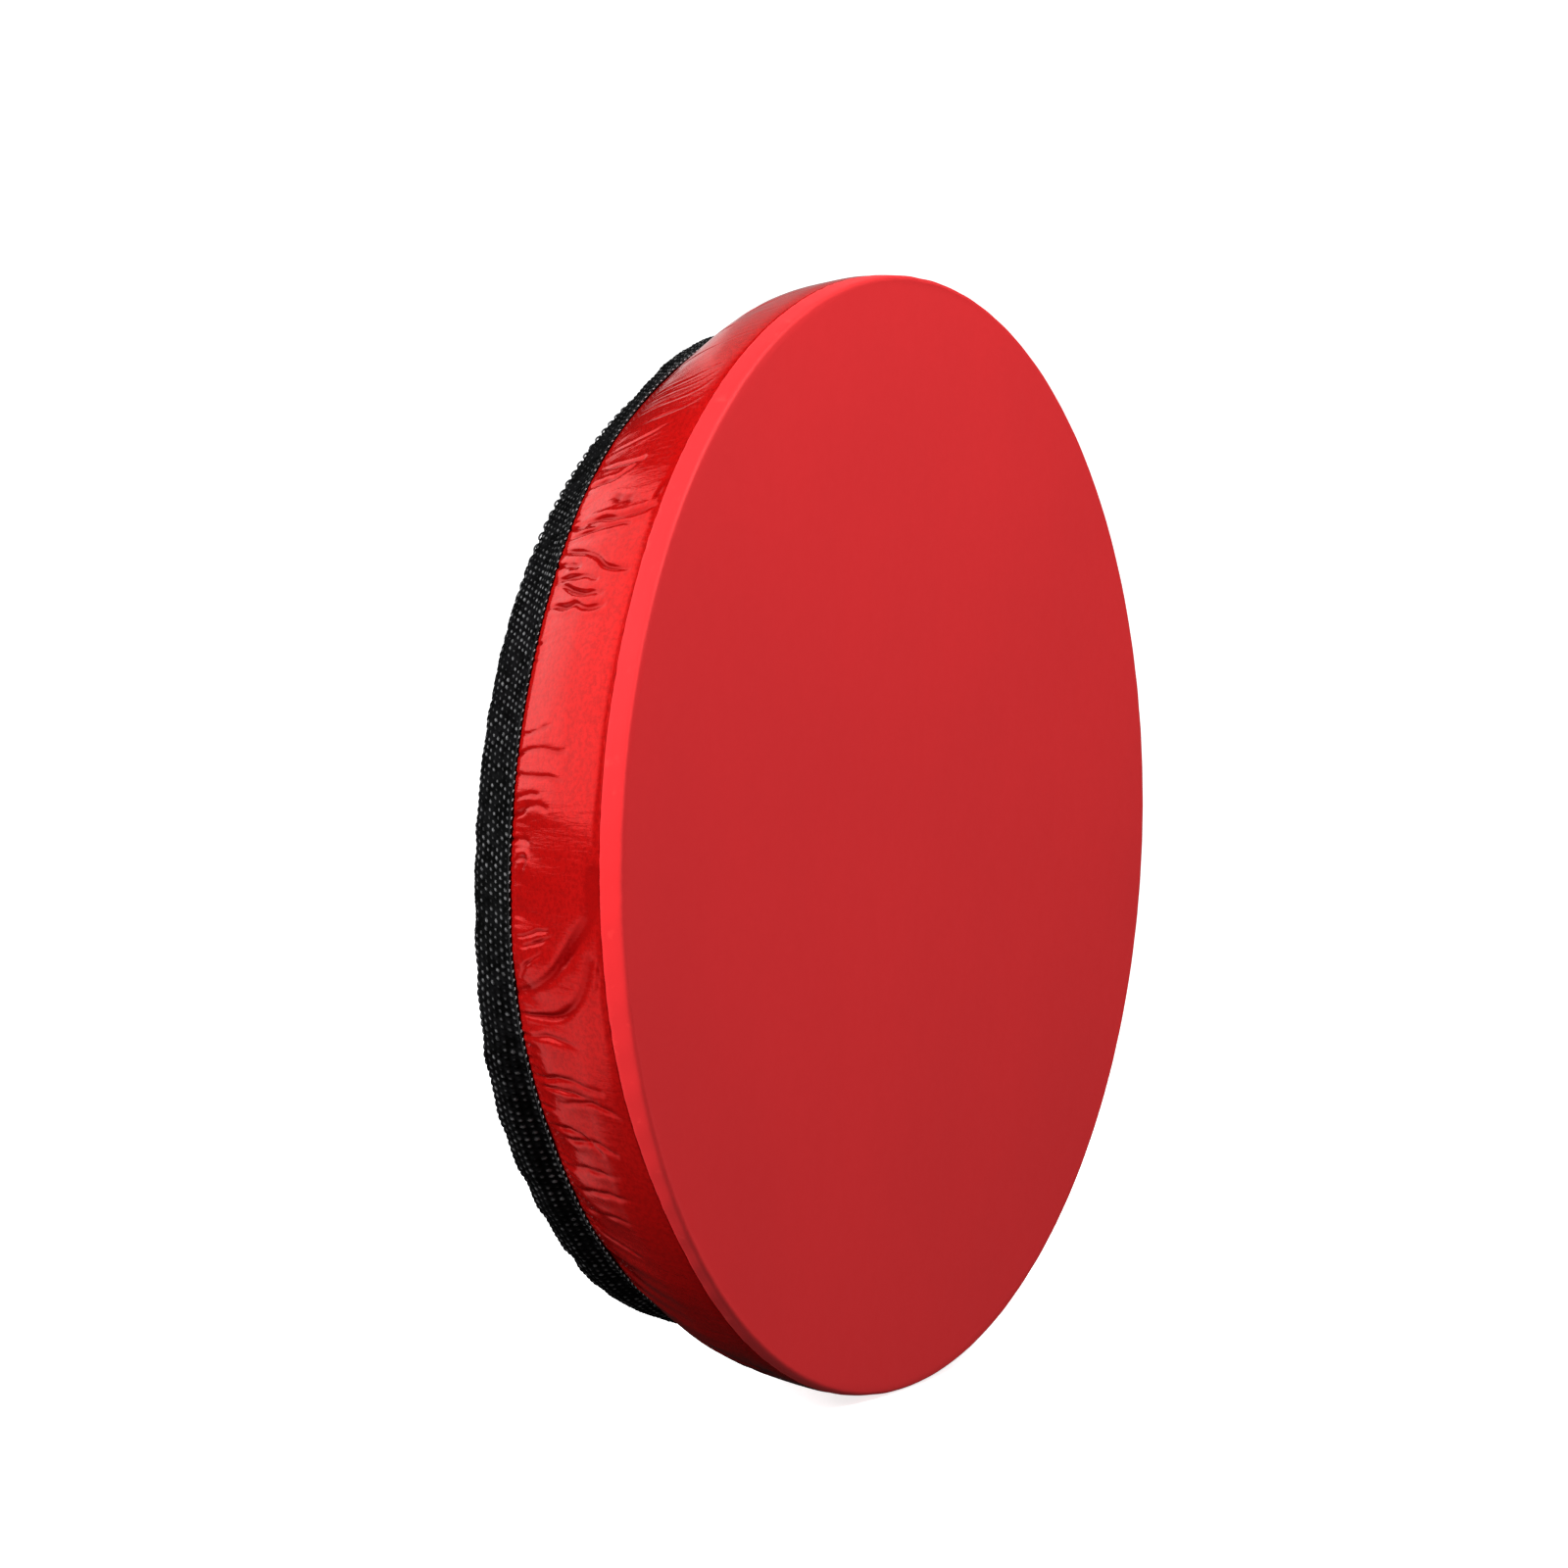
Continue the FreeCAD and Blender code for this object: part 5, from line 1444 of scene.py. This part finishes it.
elastic("elastic_band_upper", 40.0, "elastic_strap_upper", 1)
elastic("elastic_band_lower", -40.0, "elastic_strap_lower", 2)

# ------------------------------------------------------------------ carry ring's tab and the wrist loop
RX, RZ = 132.9, -3.0
BOW = RZ - 10.5
SIDE = (0, 1, 0)


def in_plane(points, n, closed=False):
    c = curve(points, n, closed)
    return np.stack([c[:, 0], np.full(n, 42.7), c[:, 1]], -1)


def ring_tab():
    inner = [(130.02 * math.sin(math.radians(t)), -130.02 * math.cos(math.radians(t))) for t in (101.6, 98, 94.5, 91.6)]
    outer = [(131.12 * math.sin(math.radians(t)), -131.12 * math.cos(math.radians(t))) for t in (92.2, 94.5, 98, 101.6)]
    a = np.radians(np.array([200, 235, 270, 305, 340, 15, 50, 85, 120]))
    eye = [(RX + 1.72 * math.cos(t), RZ + 1.72 * math.sin(t)) for t in a]
    path = in_plane(inner + [(130.45, 0.6)] + eye + [(131.55, 1.9)] + outer, 260)
    o = ribbon("ring_tab_webbing", path, SIDE, 8.3, 1.04, across=29, weave=0.12, pitch=1.15)
    return dress(o, STRAP, "case_body", "black_webbing", "ring_tab")


ring_tab()
for tag, degs in (("top", 100.4), ("mid", 94.6)):
    r = 131.72
    t = math.radians(degs)
    ys = np.linspace(39.4, 46.0, 30)
    p = np.stack([np.full(30, r * math.sin(t)), ys, np.full(30, -r * math.cos(t))], -1)
    stitches("ring_tab_bar_" + tag, p, (math.sin(t), 0, -math.cos(t)), 1.5, 0.4, 0.22, closed=False, body="case_body", slot_name="black_webbing")
for i, y in enumerate((39.5, 45.9)):
    t = np.radians(np.linspace(94.6, 100.4, 30))
    p = np.stack([131.72 * np.sin(t), np.full(30, y), -131.72 * np.cos(t)], -1)
    stitches(f"ring_tab_row_{i}", p, np.stack([np.sin(t), np.zeros(30), -np.cos(t)], -1), 1.7, 0.5, 0.22, closed=False, body="case_body", slot_name="black_webbing")


def wrist_loop():
    a = np.radians(np.array([250, 215, 180, 140, 100, 80, 40, 0, 325, 290]))
    eye = [(RX + 3.5 * math.cos(t), BOW + 3.5 * math.sin(t)) for t in a]
    right = [(RX + 0.66, BOW - 5.4), (RX + 0.64, BOW - 10), (RX + 0.66, BOW - 14.5), (RX + 1.6, BOW - 18), (RX + 5.6, BOW - 26), (RX + 11.0, BOW - 39), (RX + 14.4, BOW - 52),
             (RX + 15.4, BOW - 64), (RX + 14.2, BOW - 77), (RX + 10.4, BOW - 87), (RX + 5.2, BOW - 92.4), (RX, BOW - 94.2)]
    left = [(2 * RX - x, z) for x, z in right[::-1][1:]]
    pts = eye + right + left
    path = in_plane(pts, 620, True)
    # a soft strap hangs with a little twist in it
    hang = smooth((BOW - 20 - path[:, 2]) / 60)
    path[:, 1] += 0.35 * np.sin((path[:, 2] - BOW) / 16) * hang
    side = np.stack([0.10 * np.sin((path[:, 2] - BOW) / 21) * hang, np.ones(620), 0.08 * np.cos(path[:, 2] / 15) * hang], -1)
    o = ribbon("wrist_loop_webbing", path, side, 8.0, 1.1, closed=True, across=29, weave=0.12, pitch=1.15)
    return dress(o, STRAP, "wrist_loop", "black_webbing", "wrist_loop")


wrist_loop()
for s in (-1, 1):
    for j, z in enumerate((BOW - 6.6, BOW - 13.2)):
        ys = np.linspace(39.6, 45.8, 30)
        p = np.stack([np.full(30, RX + s * 1.24), ys, np.full(30, z)], -1)
        stitches(f"loop_bar_{'l' if s < 0 else 'r'}{j}", p, (s, 0, 0), 1.4, 0.4, 0.2, closed=False, body="wrist_loop", slot_name="black_webbing")
    for j, y in enumerate((39.7, 45.7)):
        zs = np.linspace(BOW - 13.2, BOW - 6.6, 30)
        p = np.stack([np.full(30, RX + s * 1.24), np.full(30, y), zs], -1)
        stitches(f"loop_row_{'l' if s < 0 else 'r'}{j}", p, (s, 0, 0), 1.5, 0.4, 0.2, closed=False, body="wrist_loop", slot_name="black_webbing")

# ------------------------------------------------------------------ CAD nodes that stay, with their materials
KEEP = {
    "front_padding": (FOAM, None), "front_stiffener": (BOARD, None), "door_padding": (FOAM, None), "door_stiffener": (BOARD, None),
    "lower_panel_padding": (FOAM, None), "lower_panel_stiffener": (BOARD, None),
    "zip_end_stops": (METAL, 0.15), "slider_body": (METAL, 0.18), "pull_tab": (METAL, 0.14), "carry_ring": (METAL, None),
}
for name, (material, bevel) in KEEP.items():
    o = nodes[name]
    o.data.materials.clear()
    o.data.materials.append(material)
    if bevel:
        b = o.modifiers.new("edge", "BEVEL")
        b.width = bevel * 0.001
        b.segments = 2
        b.limit_method = "ANGLE"
        b.angle_limit = math.radians(35)
        b.harden_normals = False

# ------------------------------------------------------------------ studio
scene = bpy.context.scene
FLOOR_Z = -0.1427


def backdrop():
    prof = [(-6.0, FLOOR_Z)]
    n = 26
    verts, faces = [], []
    # floor that curves up behind, seen from the camera's side
    line = [(-2.5, 0.0), (1.6, 0.0)] + [(1.6 + 1.2 * math.sin(a), 1.2 - 1.2 * math.cos(a)) for a in np.linspace(0, math.pi / 2, 16)[1:]] + [(2.8, 4.5)]
    for i, (d, z) in enumerate(line):
        for w_ in (-6.0, 6.0):
            verts.append((w_, d, z))
    for i in range(len(line) - 1):
        faces.append((2 * i, 2 * i + 1, 2 * i + 3, 2 * i + 2))
    me = bpy.data.meshes.new("studio_floor")
    me.from_pydata(verts, [], faces)
    me.polygons.foreach_set("use_smooth", [True] * len(me.polygons))
    o = bpy.data.objects.new("studio_floor", me)
    scene.collection.objects.link(o)
    o.location = (0, 0, FLOOR_Z)
    o.rotation_euler = (0, 0, math.radians(-61.3))
    m = Mat("studio_pale")
    m.sets(Base_Color=(0.92, 0.92, 0.92), Roughness=0.9, Specular_IOR_Level=0.0, Emission_Color=(1, 1, 1), Emission_Strength=0.78)
    o.data.materials.append(m.m)
    o.visible_glossy = False
    o.visible_diffuse = False
    return o


backdrop()

world = bpy.data.worlds.new("studio_world")
scene.world = world
world.use_nodes = True
wt = world.node_tree
wt.nodes.clear()


def wn(kind, props=None, out=0, **inputs):
    n = wt.nodes.new("ShaderNode" + kind)
    for k, v in (props or {}).items():
        setattr(n, k, v)
    for k, v in inputs.items():
        sock = n.inputs[int(k[1:])] if k[0] == "i" and k[1:].isdigit() else n.inputs[k.replace("_", " ")]
        if isinstance(v, bpy.types.NodeSocket):
            wt.links.new(v, sock)
        else:
            sock.default_value = v
    return n.outputs[out]


def wm(op, a, b=0.0):
    return wn("Math", {"operation": op}, i0=a, i1=b)


def over(value, edge, soft):
    """0 below the edge and 1 above it, over a soft step."""
    return wn("MapRange", {"interpolation_type": "SMOOTHSTEP"}, i0=value, i1=edge - soft, i2=edge + soft, i3=0.0, i4=1.0)


def under(value, edge, soft):
    return wn("MapRange", {"interpolation_type": "SMOOTHSTEP"}, i0=value, i1=edge - soft, i2=edge + soft, i3=1.0, i4=0.0)


def product(*terms):
    out = terms[0]
    for t in terms[1:]:
        out = wm("MULTIPLY", out, t)
    return out


# The studio as reflections see it: turn is the azimuth less 180 degrees, lift is the elevation.
sep = wt.nodes.new("ShaderNodeSeparateXYZ")
wt.links.new(wn("TexCoord", out=0), sep.inputs[0])
wx, wy, wz = sep.outputs
turn_ = wm("DEGREES", wm("ARCTAN2", wm("MULTIPLY", wx, -1.0), wy))
lift_ = wm("DEGREES", wm("ARCSINE", wz))
slant_a = wm("SUBTRACT", turn_, wm("MULTIPLY", lift_, 1.2))
slant_b = wm("SUBTRACT", turn_, wm("MULTIPLY", lift_, 0.7))
bank = product(over(lift_, 2.2, 3.2), under(lift_, 50.0, 4.0), over(slant_a, -55.6, 1.2), under(turn_, 50.0, 8.0))
strip = product(under(slant_b, -58.0, 0.6), over(slant_b, -62.0, 0.6), over(lift_, -14.0, 6.0), under(lift_, 40.0, 6.0))
upper = product(under(slant_b, -62.0, 0.6), over(turn_, -100.0, 8.0), over(lift_, -14.0, 6.0), under(lift_, 50.0, 6.0))
lower = product(over(lift_, -33.0, 6.0), under(lift_, -16.5, 3.5), over(turn_, -20.0, 8.0), under(turn_, 45.0, 8.0))
side = product(over(lift_, 4.0, 6.0), under(lift_, 62.0, 8.0), over(turn_, 78.0, 8.0), under(turn_, 150.0, 10.0))
parts_ = [(bank, 1.12), (strip, 0.72), (upper, 0.36), (lower, 0.42), (side, 0.45)]
level = 0.012
for mask_, amount in parts_:
    level = wm("ADD", wm("MULTIPLY", mask_, amount), level)
# uneven cloth over the soft boxes
cloudy = wn("TexNoise", {}, 0, Vector=wn("TexCoord", out=0), Scale=9.0, Detail=3.0, Roughness=0.6)
level = wm("MULTIPLY", level, wn("MapRange", {}, i0=cloudy, i1=0.32, i2=0.62, i3=0.80, i4=1.06))


def background(strength, colour=(1, 1, 1)):
    n = wt.nodes.new("ShaderNodeBackground")
    n.inputs[0].default_value = (*colour, 1)
    if isinstance(strength, bpy.types.NodeSocket):
        wt.links.new(strength, n.inputs[1])
    else:
        n.inputs[1].default_value = strength
    return n.outputs[0]


lp = wt.nodes.new("ShaderNodeLightPath")
m1 = wt.nodes.new("ShaderNodeMixShader")
m2 = wt.nodes.new("ShaderNodeMixShader")
wo = wt.nodes.new("ShaderNodeOutputWorld")
wt.links.new(lp.outputs["Is Glossy Ray"], m1.inputs[0])
wt.links.new(background(0.26), m1.inputs[1])
wt.links.new(background(level), m1.inputs[2])
wt.links.new(lp.outputs["Is Camera Ray"], m2.inputs[0])
wt.links.new(m1.outputs[0], m2.inputs[1])
wt.links.new(background(1.0), m2.inputs[2])
wt.links.new(m2.outputs[0], wo.inputs[0])


def direction(az, el):
    a, e = math.radians(az), math.radians(el)
    return Vector((math.sin(a) * math.cos(e), -math.cos(a) * math.cos(e), math.sin(e)))


def area(name, az, el, dist, size, power, size_y=None, colour=(1, 1, 1), target=(0, 0.02, 0)):
    d = bpy.data.lights.new(name, "AREA")
    d.energy = power
    d.color = colour
    d.shape = "RECTANGLE"
    d.size = size
    d.size_y = size_y or size
    o = bpy.data.objects.new(name, d)
    scene.collection.objects.link(o)
    o.location = Vector(target) + direction(az, el) * dist
    o.rotation_euler = (Vector(target) - o.location).to_track_quat("-Z", "Y").to_euler()
    o.visible_glossy = False
    o.visible_camera = False
    return o


area("key", -108, 29, 1.5, 0.7, 41.0)
area("front_top", -4, 50, 0.74, 0.5, 6.2)
area("front_low", -14, 18, 1.8, 0.9, 2.9)

cam = bpy.data.cameras.new("camera")
cam.sensor_width = 36
SCALE = 3994.0                      # frame pixels per metre at the rim, for a frame 1600 wide
DIST = 1.325
cam.lens = SCALE * DIST * cam.sensor_width / 1600
cam_o = bpy.data.objects.new("camera", cam)
scene.collection.objects.link(cam_o)
AZ, EL = -62.13, 4.05
back = direction(AZ, EL)
cam_o.location = Vector((0, 0.0052, 0)) + back * DIST
cam.shift_x = -107.75 / 1600
cam.shift_y = 53.1 / 1600
cam_o.rotation_euler = (-back).to_track_quat("-Z", "Y").to_euler()
scene.camera = cam_o
scene.view_settings.view_transform = "Standard"
scene.view_settings.look = "None"
